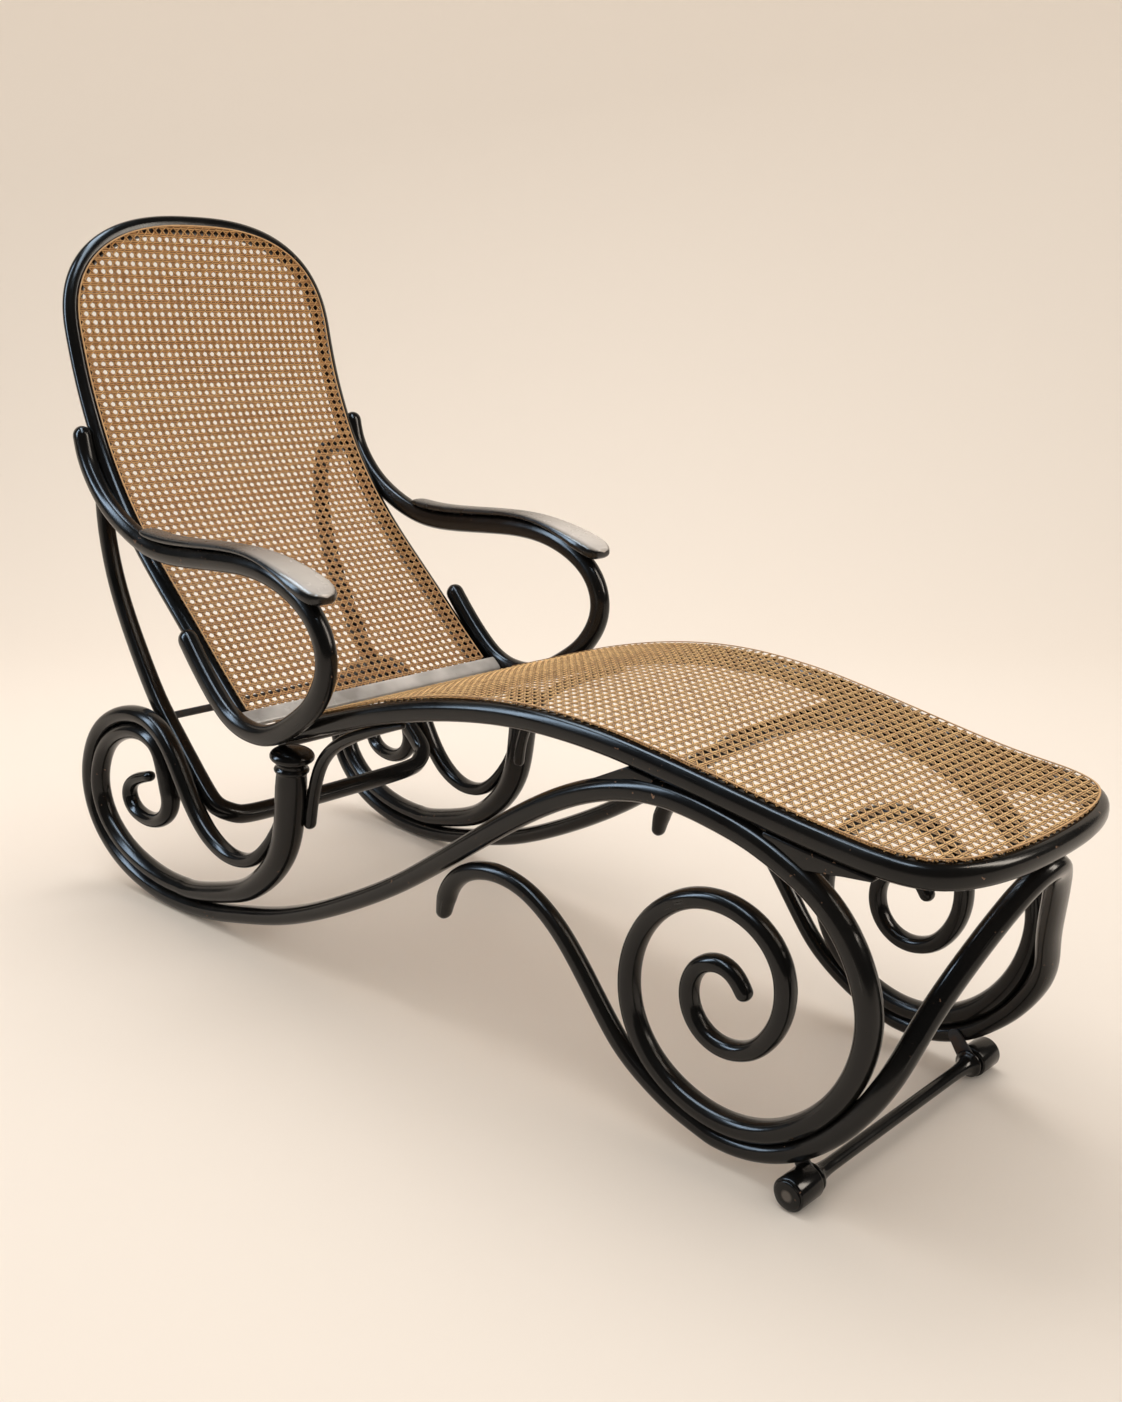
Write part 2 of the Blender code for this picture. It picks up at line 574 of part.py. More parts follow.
def build_back(parts):
    half, profile = back_frame()
    mirror = np.array((1.0, -1.0, 1.0))
    path = np.vstack([half, (half[:-1] * mirror)[::-1]])
    way = tangents(path)
    normals = [front_normal(profile, p[2])[0] for p in path]
    across = [Vector(t).cross(n).normalized() for t, n in zip(way, normals)]
    rod("back_bow", path, across, BACK_ROD, BACK_ROD, BLACK, parts)

    rows = len(half) - 1
    rise = BACK_ROD * FLAT + GAP + CANE_THICK / 2
    tall = rise + CANE_THICK / 2 + BINDER_TALL / 2 + GAP
    edge, strip, lifts = [], [], []
    for i in range(rows):
        spot = Vector(half[i])
        if i == 0:
            spot = spot.lerp(Vector(half[1]), SILL_TOP / (Vector(half[1]) - spot).length)
        edge.append(spot + normals[i] * rise)
        strip.append(spot + across[i] * BINDER_WIDE + normals[i] * tall)
        lifts.append(normals[i])
    panel("back_cane", edge, lifts, CANE_THICK, CANE, parts)
    binder("back_cane_binder", strip, lifts, parts)

    normal, up = front_normal(profile, half[0][2] + SILL_AT * 0.6)
    centre = Vector((half[0][0], 0.0, half[0][2])) + up * SILL_AT
    centre += normal * (BACK_ROD * FLAT + SILL_THICK / 2 + 2 * GAP)
    reach = BACK_HALF + BACK_ROD * 0.8
    rod("back_sill", [centre + Vector((0, y, 0)) for y in (-reach, 0.0, reach)], up,
        SILL_THICK / 2, SILL_LONG / 2, WORN, parts, sides=12, ends=False, power=3.2)
    return half, profile


def arm_y():
    return BACK_HALF + (BACK_ROD + ARM_ROD) * FLAT + GAP


def build_arms(parts, cutters):
    line = stations(smooth(ARM))
    for hand in (-1, 1):
        label = side_name(hand)
        path = [(x, hand * arm_y(), z) for x, z in line]
        arm = rod("arm_" + label, path, Vector((0, 1, 0)), ARM_ROD, ARM_ROD, BLACK, parts)
        blind = hand * (arm_y() + ARM_ROD - PIVOT_PLY)
        bore(arm, PIVOT_PIN + RUN_CLEAR, (PIVOT_X, hand * (arm_y() - 0.03), PIVOT_Z),
             (PIVOT_X, blind, PIVOT_Z), cutters, "arm_bore_" + label)
        head = hand * (side_y(PIVOT_X + PIVOT_HEAD) - RAIL_WIDE * RAIL_FLAT - GAP)
        pin("pivot_pin_" + label, PIVOT_PIN, PIVOT_HEAD, (PIVOT_X, head, PIVOT_Z),
            (PIVOT_X, blind - hand * GAP, PIVOT_Z), IRON, parts)
        build_pad(parts, line, hand)
    build_washers(parts)
    return line


def build_washers(parts):
    for hand in (-1, 1):
        inner = side_y(PIVOT_X - PIVOT_HEAD) + RAIL_WIDE * RAIL_FLAT + GAP
        outer = arm_y() - ARM_ROD * FLAT - GAP
        ring = [(PIVOT_PIN + GAP, hand * inner), (PIVOT_HEAD, hand * inner),
                (PIVOT_HEAD, hand * outer), (PIVOT_PIN + GAP, hand * outer)]
        turned("pivot_washer_" + side_name(hand), ring, (PIVOT_X, 0.0, PIVOT_Z), IRON, parts, steps=14)


def build_pad(parts, line, hand):
    curve = smooth([(x, z) for x, z, _ in PAD])
    inside = [x for x, z in line if z > PAD[-1][1] - 0.03 and PAD[0][0] < x < PAD[-2][0]]
    xs = sorted(inside + [p[0] for p in PAD[:2] + PAD[-3:]])
    top = [(x, level_at(curve, x)) for x in xs]
    wide = [np.interp(x, [p[0] for p in PAD], [p[2] for p in PAD]) for x in xs]
    floor_line = beside(line, ARM_ROD * FLAT + GAP)
    bm = bmesh.new()
    rows = []
    for (x, z), half in zip(top, wide):
        level = rod_top(floor_line, x, z - PAD_THICK) + 2 * GAP
        row = []
        for u, v in ((-0.72, 0.0), (-1.0, 0.35), (-0.94, 0.72), (-0.55, 0.97), (0.0, 1.0),
                     (0.55, 0.97), (0.94, 0.72), (1.0, 0.35), (0.72, 0.0)):
            row.append(bm.verts.new((x, hand * arm_y() + u * half, level + v * (z - level))))
        rows.append(row)
    count = len(rows[0])
    for a, b in zip(rows, rows[1:]):
        for k in range(count):
            m = (k + 1) % count
            bm.faces.new((a[k], a[m], b[m], b[k]))
    bm.faces.new(rows[0])
    bm.faces.new(rows[-1])
    return add("arm_pad_" + side_name(hand), bm, WORN, parts)


def rod_top(outline, x, least):
    # Height of the upper side of a rod at x, or `least` where that is higher.
    heights = [least]
    for (xa, za), (xb, zb) in zip(outline, outline[1:]):
        if min(xa, xb) - 0.004 <= x <= max(xa, xb) + 0.004 and abs(xb - xa) > 1e-6:
            level = za + (zb - za) * min(max((x - xa) / (xb - xa), 0.0), 1.0)
            if level < least + PAD_THICK:
                heights.append(level)
    return max(heights)


def build_braces(parts):
    line = stations(smooth(BRACE))
    half = taper(line, BRACE_THICK)
    for hand in (-1, 1):
        rod("brace_" + side_name(hand), on_side(line, hand), side_normal(hand), half, half * WIDE,
            BLACK, parts)


def level_at(points, x):
    # Height of a line that runs forward at x.
    return float(np.interp(x, points[:, 0], points[:, 1]))


def between(points, start, end):
    # The stretch of a line that runs forward from one x to another.
    inside = [tuple(p) for p in points if start < p[0] < end]
    return [(start, level_at(points, start))] + inside + [(end, level_at(points, end))]


def build_blocks(parts, line, half, rail):
    # Blocks between the crest of a side rod and the seat rail above it.
    crest = slice(nearest(line, (0.600, 0.396)), nearest(line, (1.020, 0.365)) + 1)
    top = beside(line, half * FLAT + GAP)[crest]
    under = beside(rail[:, [0, 2]], -RAIL_TALL * RAIL_FLAT - GAP)
    under = under[:nearest(rail[:, [0, 2]], (1.10, 0.438)) + 1]
    rear = between(top, 0.655, 0.775) + between(under, 0.735, 0.775)[::-1]
    front = between(top, 0.930, 0.985)[::-1] + between(under, 0.930, 1.070)
    front += [(1.070, level_at(under, 1.070) - 0.005), (1.035, level_at(under, 1.035) - 0.012)]
    for hand in (-1, 1):
        for label, outline in (("rear_block_", rear), ("front_block_", front)):
            normal = side_normal(hand) * BLOCK_HALF

            def low(p):
                return Vector((p[0], hand * side_y(p[0]), p[1])) - normal

            def high(p):
                return Vector((p[0], hand * side_y(p[0]), p[1])) + normal

            plate(label + side_name(hand), outline, low, high, BLACK, parts)


def build_prop(parts, cutters, profile, line, half):
    normal, up = front_normal(profile, HINGE_AT)
    bow_x = float(np.interp(HINGE_AT, profile[:, 1], profile[:, 0]))
    hinge = Vector((bow_x, 0.0, HINGE_AT)) - normal * HINGE_OUT
    leg = [(hinge.x, -PROP_HALF, hinge.z)] + [(x, -PROP_HALF, z) for x, z in PROP_LEG]
    right = np.array(leg + list(PROP_CORNER))
    mirror = np.array((1.0, -1.0, 1.0))
    bar = np.array([(PROP_BAR[0], 0.0, PROP_BAR[1])])
    path = stations(smooth(np.vstack([right, bar, (right * mirror)[::-1]])), reach=0.07)
    axes = carried(path, Vector((0, 1, 0)))
    thick = taper(path, PROP_THICK)
    bail = rod("prop_bail", path, axes, thick, thick, BLACK, parts, power=PROP_POWER)

    lean = nearest(path[:len(path) // 2, [0, 2]], PROP_LEAN)
    way = Vector(tangents(path)[lean])
    rear = Vector((way.z, 0.0, -way.x)).normalized()
    rest = Vector((path[lean][0], 0.0, path[lean][2])) + rear * (thick[lean] * PROP_FLAT + REST_ROD + GAP)
    for hand in (-1, 1):
        label = side_name(hand)
        y0, y1 = hand * (PROP_HALF - 0.03), hand * (PROP_HALF + 0.03)
        bore(bail, HINGE_PIN + RUN_CLEAR, (hinge.x, y0, hinge.z), (hinge.x, y1, hinge.z), cutters,
             "bail_bore_" + label, sides=12)
        inner = PROP_HALF + PROP_ROD + GAP
        build_lug(parts, cutters, hand, hinge, normal, up, inner)
        pin("hinge_pin_" + label, HINGE_PIN, HINGE_HEAD,
            (hinge.x, hand * (inner + LUG_WIDE + GAP), hinge.z),
            (hinge.x, hand * (PROP_HALF - PROP_ROD - GAP), hinge.z), IRON, parts, both=True)
    side_half = half[nearest(line, (rest.x, rest.z))]
    reach = side_y(rest.x + REST_ROD) - side_half * WIDE * FLAT - 2 * GAP
    rod("prop_rest_rod", [(rest.x, y, rest.z) for y in (-reach, 0.0, reach)], Vector((1, 0, 0)),
        REST_ROD, REST_ROD, IRON, parts, sides=12, ends=False)
    return hinge, rest


def build_lug(parts, cutters, hand, hinge, normal, up, inner):
    reach = HINGE_OUT - BACK_ROD * FLAT - 2 * GAP
    outline = [(reach, -LUG_TALL / 2), (reach, LUG_TALL / 2), (-0.004, LUG_TALL / 2)]
    for step in range(7):
        angle = math.radians(60 - step * 20)
        outline.append((-0.004 - 0.010 * math.cos(angle), LUG_TALL / 2 * 0.9 * math.sin(angle)))
    outline.append((-0.004, -LUG_TALL / 2))

    def low(p):
        return hinge + normal * p[0] + up * p[1] + Vector((0, hand * inner, 0))

    def high(p):
        return low(p) + Vector((0, hand * LUG_WIDE, 0))

    lug = plate("hinge_lug_" + side_name(hand), outline, low, high, IRON, parts)
    bore(lug, HINGE_PIN + GAP, (hinge.x, hand * (inner - 0.01), hinge.z),
         (hinge.x, hand * (inner + LUG_WIDE + 0.01), hinge.z), cutters, "lug_bore_" + side_name(hand))


def build_rollers(parts, flat, flat_half):
    near = (flat[:, 0] > AXLE_X - 0.05) & (flat[:, 0] < AXLE_X + 0.06) & (flat[:, 1] < 0.2)
    below = flat[near]
    grip = below[nearest(below, (AXLE_X + 0.012, 0.075))]
    face = float((side_y(below[:, 0]) - flat_half[near] * FOOT_WIDE * FLAT).min()) - LAP_EASE / 2
    hanger_in = face - GAP - HANGER_THICK
    roller_in = face + 0.0005
    roller_out = roller_in + ROLLER_LONG
    flange = hanger_in - GAP
    half = [(JOURNAL_R * 1.5, roller_out + GAP + 0.002), (JOURNAL_R * 1.5, roller_out + GAP),
            (JOURNAL_R, roller_out + GAP), (JOURNAL_R, face), (NECK_R, face), (NECK_R, flange),
            (FLANGE_R, flange), (FLANGE_R, flange - 0.004), (FLANGE_R * 0.7, flange - 0.009),
            (AXLE_R * 1.15, flange - 0.019), (AXLE_R, flange - 0.035)]
    profile = [(0.0, half[0][1])] + half + [(r, -y) for r, y in reversed(half)] + [(0.0, -half[0][1])]
    turned("foot_axle", profile, (AXLE_X, 0.0, ROLLER_R), BLACK, parts)
    for hand in (-1, 1):
        bore_r = JOURNAL_R + RUN_CLEAR
        barrel = [(bore_r, roller_in), (ROLLER_R - 0.002, roller_in), (ROLLER_R, roller_in + 0.002),
                  (ROLLER_R, roller_out - 0.002), (ROLLER_R - 0.002, roller_out), (bore_r, roller_out)]
        turned("roller_" + side_name(hand), [(r, hand * y) for r, y in barrel],
               (AXLE_X, 0.0, ROLLER_R), BLACK, parts, steps=24)
        build_hanger(parts, hand, grip, hanger_in, face)


def build_hanger(parts, hand, grip, inner, outer):
    axle = Vector((AXLE_X, ROLLER_R))
    tip = Vector((grip[0], grip[1]))
    way = (tip - axle).normalized()
    turn = math.atan2(way.y, way.x)
    wide = 0.0135
    ring = []
    for step in range(11):
        angle = turn + math.pi / 2 + math.pi * step / 10
        ring.append(axle + Vector((math.cos(angle), math.sin(angle))) * wide)
    for step in range(7):
        angle = turn - math.pi / 2 + math.pi * step / 6
        ring.append(tip + Vector((math.cos(angle), math.sin(angle))) * wide * 0.75)
    hole = [axle + Vector((math.cos(2 * math.pi * k / 16), math.sin(2 * math.pi * k / 16)))
            * (NECK_R + GAP) for k in range(16)]
    bm = bmesh.new()
    faces = []
    for y in (inner, outer - GAP):
        edges = []
        for loop in (ring, hole):
            verts = [bm.verts.new((p.x, hand * y, p.y)) for p in loop]
            edges += [bm.edges.new((a, b)) for a, b in zip(verts, verts[1:] + verts[:1])]
        faces.append(edges)
        bmesh.ops.triangle_fill(bm, edges=edges, use_beauty=True)
    for a, b in zip(*faces):
        bm.faces.new((a.verts[0], a.verts[1], b.verts[1], b.verts[0]))
    add("axle_hanger_" + side_name(hand), bm, IRON, parts)


def centre_on_floor(parts):
    # Hang every piece on one empty so that the whole stands centred on the floor.
    bpy.context.view_layer.update()
    low, high = Vector((9, 9, 9)), Vector((-9, -9, -9))
    graph = bpy.context.evaluated_depsgraph_get()
    for obj in parts.objects:
        seen = obj.evaluated_get(graph)
        for corner in seen.bound_box:
            spot = seen.matrix_world @ Vector(corner)
            low = Vector(map(min, low, spot))
            high = Vector(map(max, high, spot))
    shift = Vector((-(low.x + high.x) / 2, 0.0, -low.z))
    for collection in bpy.context.scene.collection.children:
        for obj in collection.objects:
            obj.location += shift
    return shift, low, high


def main():
    parts, cutters = fresh_scene()
    line, half = build_side_rods(parts)
    build_rear_scrolls(parts, line, half)
    flat, flat_half = build_foot_rod(parts, line, half)
    rail = build_seat(parts, cutters)
    bow, profile = build_back(parts)
    build_arms(parts, cutters)
    build_braces(parts)
    build_blocks(parts, line, half, rail)
    hinge, rest = build_prop(parts, cutters, profile, line, half)
    build_rollers(parts, flat, flat_half)
    shift, low, high = centre_on_floor(parts)
    print("SHIFT", tuple(round(v, 5) for v in shift), "LOW", low, "HIGH", high)
    print("HINGE", hinge + shift, "REST", rest + shift)


main()
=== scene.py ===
import math
from functools import partial

import bpy
import bmesh
import numpy as np
from mathutils import Matrix, Vector


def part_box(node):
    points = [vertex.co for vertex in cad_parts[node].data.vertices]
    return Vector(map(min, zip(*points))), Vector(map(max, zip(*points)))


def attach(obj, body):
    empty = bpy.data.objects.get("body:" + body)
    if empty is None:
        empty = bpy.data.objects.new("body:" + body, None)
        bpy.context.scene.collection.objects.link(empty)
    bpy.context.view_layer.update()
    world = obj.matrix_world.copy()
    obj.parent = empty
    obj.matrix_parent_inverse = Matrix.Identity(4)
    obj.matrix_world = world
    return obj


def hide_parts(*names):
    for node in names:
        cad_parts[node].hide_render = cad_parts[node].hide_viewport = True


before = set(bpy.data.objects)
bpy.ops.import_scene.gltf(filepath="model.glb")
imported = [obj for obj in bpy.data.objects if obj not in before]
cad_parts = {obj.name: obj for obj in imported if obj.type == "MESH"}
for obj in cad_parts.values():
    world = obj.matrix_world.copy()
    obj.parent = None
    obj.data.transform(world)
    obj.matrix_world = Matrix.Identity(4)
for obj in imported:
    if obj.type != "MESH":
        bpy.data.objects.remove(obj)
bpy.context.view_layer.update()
print("frame loaded:", len(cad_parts), "nodes")

# Lengths are metres. Paths are drawn with x from the rear pivots toward the foot, y to the left, z up.


def middleOf(node):
    return [(low + high) / 2 for low, high in zip(*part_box(node))]


drawnAxleX = 1.0
shiftX = middleOf("foot_axle")[0] - drawnAxleX      # drawing to frame
roundFill = 0.95                                    # round section that fills the frame's eight flats
flat8 = math.cos(math.pi / 8)
workGap = 0.0003
mergeWithin = 0.00001
mirrorY = np.array((1.0, -1.0, 1.0))
sides = (("right", -1), ("left", 1))

# half spacing of the side frames and how it narrows, width per thickness and squareness of a bent rod
layout = {"sideHalf": 0.252, "sideTaper": 0.0513, "bentWidth": 1.15, "bentSquare": 2.4}


def smoothLine(points, step=16):
    # cubic B-spline that keeps close to the given points
    given = np.array(points, float)
    eased = given.copy()
    eased[1:-1] = (given[:-2] + 4 * given[1:-1] + given[2:]) / 6
    ctrl = 2 * given - eased
    ctrl = np.vstack([2 * ctrl[:1] - ctrl[1:2], ctrl, 2 * ctrl[-1:] - ctrl[-2:-1]])
    rows = []
    for i in range(len(ctrl) - 3):
        for t in np.linspace(0, 1, step, endpoint=False):
            weights = ((1 - t) ** 3, 3 * t ** 3 - 6 * t ** 2 + 4,
                       -3 * t ** 3 + 3 * t ** 2 + 3 * t + 1, t ** 3)
            rows.append(sum(w * ctrl[i + k] for k, w in enumerate(weights)) / 6)
    rows.append(given[-1])
    return np.array(rows)


def runLength(points):
    return np.concatenate([[0], np.cumsum(np.linalg.norm(np.diff(points, axis=0), axis=1))])


def readAlong(marks, run, rows):
    return np.stack([np.interp(marks, run, column) for column in np.transpose(rows)], axis=-1)


def evenLine(points, spacing):
    run = runLength(points)
    marks = np.linspace(0, run[-1], max(3, round(run[-1] / spacing) + 1))
    return readAlong(marks, run, points)


def pathThrough(points, spacing=0.006):
    return evenLine(smoothLine(points), spacing)


def shareTable(points, table):
    # table: (share of the length, value)
    run = runLength(points)
    return np.interp(run / run[-1], *zip(*table))


def unit(rows):
    return rows / np.linalg.norm(rows, axis=-1)[..., None]


def tangentsOf(points):
    return unit(np.gradient(np.asarray(points, float), axis=0))


def offsetLeft(points, away):
    way = tangentsOf(points)
    return points + np.stack([-way[:, 1], way[:, 0]], axis=1) * np.reshape(away, (-1, 1))


def nearestTo(points, spot):
    return int(np.argmin(np.linalg.norm(points - np.array(spot), axis=1)))


def mirrored(rows):
    return (rows * mirrorY)[::-1]


def bothHalves(rightHalf):
    # a right half that ends on the middle plane, and its mirror image
    return np.vstack([rightHalf, mirrored(rightHalf[:-1])])


def sideY(x):
    return layout["sideHalf"] - layout["sideTaper"] * x


def onSide(points, hand):
    # x, z and, where given, how far inside the plane of the side frame
    return np.array([(x, hand * (sideY(x) - sum(inset)), z) for x, z, *inset in points])


def sideNormal(hand):
    return Vector((hand * layout["sideTaper"], 1.0, 0.0)).normalized()


def carriedAcross(path, axis):
    axes = []
    for t in tangentsOf(path):
        t = Vector(t)
        axis = (axis - t * axis.dot(t)).normalized()
        axes.append(tuple(axis))
    return np.array(axes)


def squaredAcross(path, axis):
    way = tangentsOf(path)
    axis = np.broadcast_to(np.array(axis, float), way.shape)
    return unit(axis - way * (axis * way).sum(axis=1)[:, None])


def setSockets(tree, node, sockets):
    # a link or a plain value for each input
    for key, value in sockets.items():
        if isinstance(value, bpy.types.NodeSocket):
            tree.links.new(value, node.inputs[key])
        else:
            node.inputs[key].default_value = value


def addNode(tree, kind, sockets, **settings):
    node = tree.nodes.new(kind)
    for key, value in settings.items():
        setattr(node, key, value)
    setSockets(tree, node, sockets)
    return node.outputs


def startMaterial(name):
    mat = bpy.data.materials.new(name)
    mat.use_nodes = True
    tree = mat.node_tree
    return mat, tree, tree.nodes["Principled BSDF"]


def noiseOn(tree, vector, scale, detail, rough):
    sockets = {"Vector": vector, "Scale": scale, "Detail": detail, "Roughness": rough}
    return addNode(tree, "ShaderNodeTexNoise", sockets)["Fac"]


def objectNoise(tree, scale, detail=3.0):
    return noiseOn(tree, addNode(tree, "ShaderNodeTexCoord", {})["Object"], scale, detail, 0.55)


def attributeOf(tree, name):
    return addNode(tree, "ShaderNodeAttribute", {}, attribute_name=name)["Fac"]


def arithmetic(tree, operation, *values):
    return addNode(tree, "ShaderNodeMath", dict(enumerate(values)), operation=operation)[0]


def grainNoise(tree, along, across, detail=2.0):
    # noise drawn out along a swept piece
    ways = [arithmetic(tree, "MULTIPLY", attributeOf(tree, name), scale)
            for name, scale in (("along", along), ("edge", across))]
    joined = addNode(tree, "ShaderNodeCombineXYZ", dict(enumerate(ways)))
    return noiseOn(tree, joined[0], 1.0, detail, 0.5)


def ramp(tree, factor, low, high, start=0.0, end=1.0):
    sockets = {"Value": factor, "From Min": start, "From Max": end, "To Min": low, "To Max": high}
    return addNode(tree, "ShaderNodeMapRange", sockets)["Result"]


def mixColour(tree, factor, *colours):
    # input 0 is the factor, 6 and 7 are the colours
    a, b = (c + (1.0,) if isinstance(c, tuple) else c for c in colours)
    return addNode(tree, "ShaderNodeMix", {0: factor, 6: a, 7: b}, data_type="RGBA")[2]


def bump(tree, height, strength, distance):
    sockets = {"Height": height, "Strength": strength, "Distance": distance}
    return addNode(tree, "ShaderNodeBump", sockets)["Normal"]


def speckle(tree, mark, low=0.0, high=1.0):
    # mark: scale and detail of a noise, and the stretch of it over which the mark comes in
    scale, detail, start, end = mark
    return ramp(tree, objectNoise(tree, scale, detail), low, high, start, end)


def streaks(tree, mark, high):
    # the same along a swept piece, with a scale along it and one across it
    along, across, start, end = mark
    return ramp(tree, grainNoise(tree, along, across), 0.0, high, start, end)


def dress(tree, shader, finish, base, grain):
    setSockets(tree, shader, {
        "Base Color": base, "Roughness": speckle(tree, finish["roughness"], *finish["rough"]),
        "Specular IOR Level": finish["specular"], "Metallic": finish["metallic"],
        "Normal": bump(tree, grain, *finish["bump"])})


ebony = {
    "deep": (0.0035, 0.0033, 0.0031), "rubbed": (0.008, 0.007, 0.006),
    "cloudScale": 5.0, "cloudAt": (0.38, 0.66),
    "bareAndSheen": (0.3, 0.26, 0.22), "bareSheenLeast": 0.7, "bareSheenAt": (0.3, 0.6),
    "chip": (0.17, 0.1, 0.065), "chips": (150.0, 2.0, 0.7, 0.73), "chipGroups": (8.0, 1.0, 0.54, 0.62),
    "scratch": (0.085, 0.08, 0.075), "scratches": (9.0, 14.0, 0.68, 0.74), "scratchShare": 0.3,
    "rough": (0.14, 0.24), "roughness": (22.0, 4.0, 0.3, 0.7), "specular": 0.3, "metallic": 0.0,
    "grain": (3.0, 9.0, 3.0), "poreScale": 170.0, "pores": 0.35, "bump": (0.22, 0.0007),
}
# back sill: pale grey all over, partly wear of its polish and partly a painted sheen for the light its top face
# reflects
sillWearAndSheen = dict(ebony, deep=(0.3, 0.27, 0.24), rubbed=(0.62, 0.57, 0.52), cloudScale=9.0, chip=(0.22, 0.15, 0.1),
            scratch=(0.3, 0.28, 0.26), scratchShare=0.5, rough=(0.18, 0.3), specular=0.5)
# arm pads: pale grey on their tops, partly wear of the polish and partly a painted sheen where their tops catch
# the light
padWearAndSheen = dict(ebony, bareAndSheen=(0.6, 0.54, 0.48), rough=(0.2, 0.32), specular=0.5)


def blackWood(name, finish):
    mat, tree, shader = startMaterial(name)
    cloud = objectNoise(tree, finish["cloudScale"])
    base = mixColour(tree, ramp(tree, cloud, 0.0, 1.0, *finish["cloudAt"]), finish["deep"], finish["rubbed"])
    # paler grey where a piece says so: wear through the polish, and on the arm pad tops also a painted sheen
    bareAndSheen = ramp(tree, cloud, finish["bareSheenLeast"], 1.0, *finish["bareSheenAt"])
    base = mixColour(tree, arithmetic(tree, "MULTIPLY", attributeOf(tree, "rubAndSheen"), bareAndSheen), base, finish["bareAndSheen"])
    # small chips down to the brown wood, in loose groups
    chip = arithmetic(tree, "MULTIPLY", speckle(tree, finish["chips"]), speckle(tree, finish["chipGroups"]))
    base = mixColour(tree, chip, base, finish["chip"])
    # fine pale scratches that run with the length
    scratch = streaks(tree, finish["scratches"], finish["scratchShare"])
    base = mixColour(tree, scratch, base, finish["scratch"])
    pores = arithmetic(tree, "MULTIPLY", objectNoise(tree, finish["poreScale"]), finish["pores"])
    dress(tree, shader, finish, base, arithmetic(tree, "ADD", grainNoise(tree, *finish["grain"]), pores))
    return mat


blackWoodMat = blackWood("ebonised_wood", ebony)
wearSheenWoodMat = blackWood("worn_ebonised_wood", sillWearAndSheen)
padSheenWoodMat = blackWood("worn_sheen_pad_wood", padWearAndSheen)

caneFinish = {
    "dark": (0.6, 0.262, 0.07), "light": (1.0, 0.64, 0.27),
    "stain": (0.25, 0.098, 0.028), "stains": (95.0, 4.0, 0.44, 0.66), "stainShare": 0.5,
    "fibre": (0.52, 0.235, 0.075), "fibres": (60.0, 3.0, 0.45, 0.7), "fibreShare": 0.5,
    # painted shade: edge is the dark colour toward each strand's sides, rim how strong it gets
    "edge": (0.07, 0.027, 0.009), "rim": 0.94, "shadeAt": (0.2, 0.82),
    "rough": (0.36, 0.55), "roughness": (90.0, 3.0, 0.3, 0.7), "specular": 0.22, "metallic": 0.0,
    "grain": (90.0, 5.0), "bump": (0.2, 0.0003),
}
# the binder gets the same painted shade toward its sides, weaker
binderFinish = dict(caneFinish, dark=(0.62, 0.35, 0.14), light=(0.8, 0.5, 0.23), stainShare=0.25, rim=0.6)


def caneMaterial(name, finish):
    mat, tree, shader = startMaterial(name)
    base = mixColour(tree, attributeOf(tree, "tone"), finish["dark"], finish["light"])
    base = mixColour(tree, speckle(tree, finish["stains"], 0.0, finish["stainShare"]), base, finish["stain"])
    base = mixColour(tree, streaks(tree, finish["fibres"], finish["fibreShare"]), base, finish["fibre"])
    # painted shade: each strand darkens toward its two edges, standing in for the shade where the strands meet
    fromMiddle = arithmetic(tree, "ABSOLUTE", attributeOf(tree, "edge"))
    base = mixColour(tree, ramp(tree, fromMiddle, 0.0, finish["rim"], *finish["shadeAt"]), base, finish["edge"])
    dress(tree, shader, finish, base, grainNoise(tree, *finish["grain"]))
    return mat


caneMat = caneMaterial("cane", caneFinish)
binderMat = caneMaterial("cane_binder", binderFinish)

ironFinish = {
    "metal": (0.045, 0.045, 0.047), "metallic": 0.7, "specular": 0.5,
    "rust": (0.07, 0.043, 0.03), "rusting": (45.0, 5.0, 0.52, 0.7),
    "rough": (0.35, 0.65), "roughness": (80.0, 3.0, 0.3, 0.7), "pitScale": 220.0, "bump": (0.2, 0.0005),
}


def ironMaterial(name, finish):
    mat, tree, shader = startMaterial(name)
    base = mixColour(tree, speckle(tree, finish["rusting"]), finish["metal"], finish["rust"])
    dress(tree, shader, finish, base, objectNoise(tree, finish["pitScale"]))
    return mat


ironMat = ironMaterial("iron", ironFinish)
print("materials made")


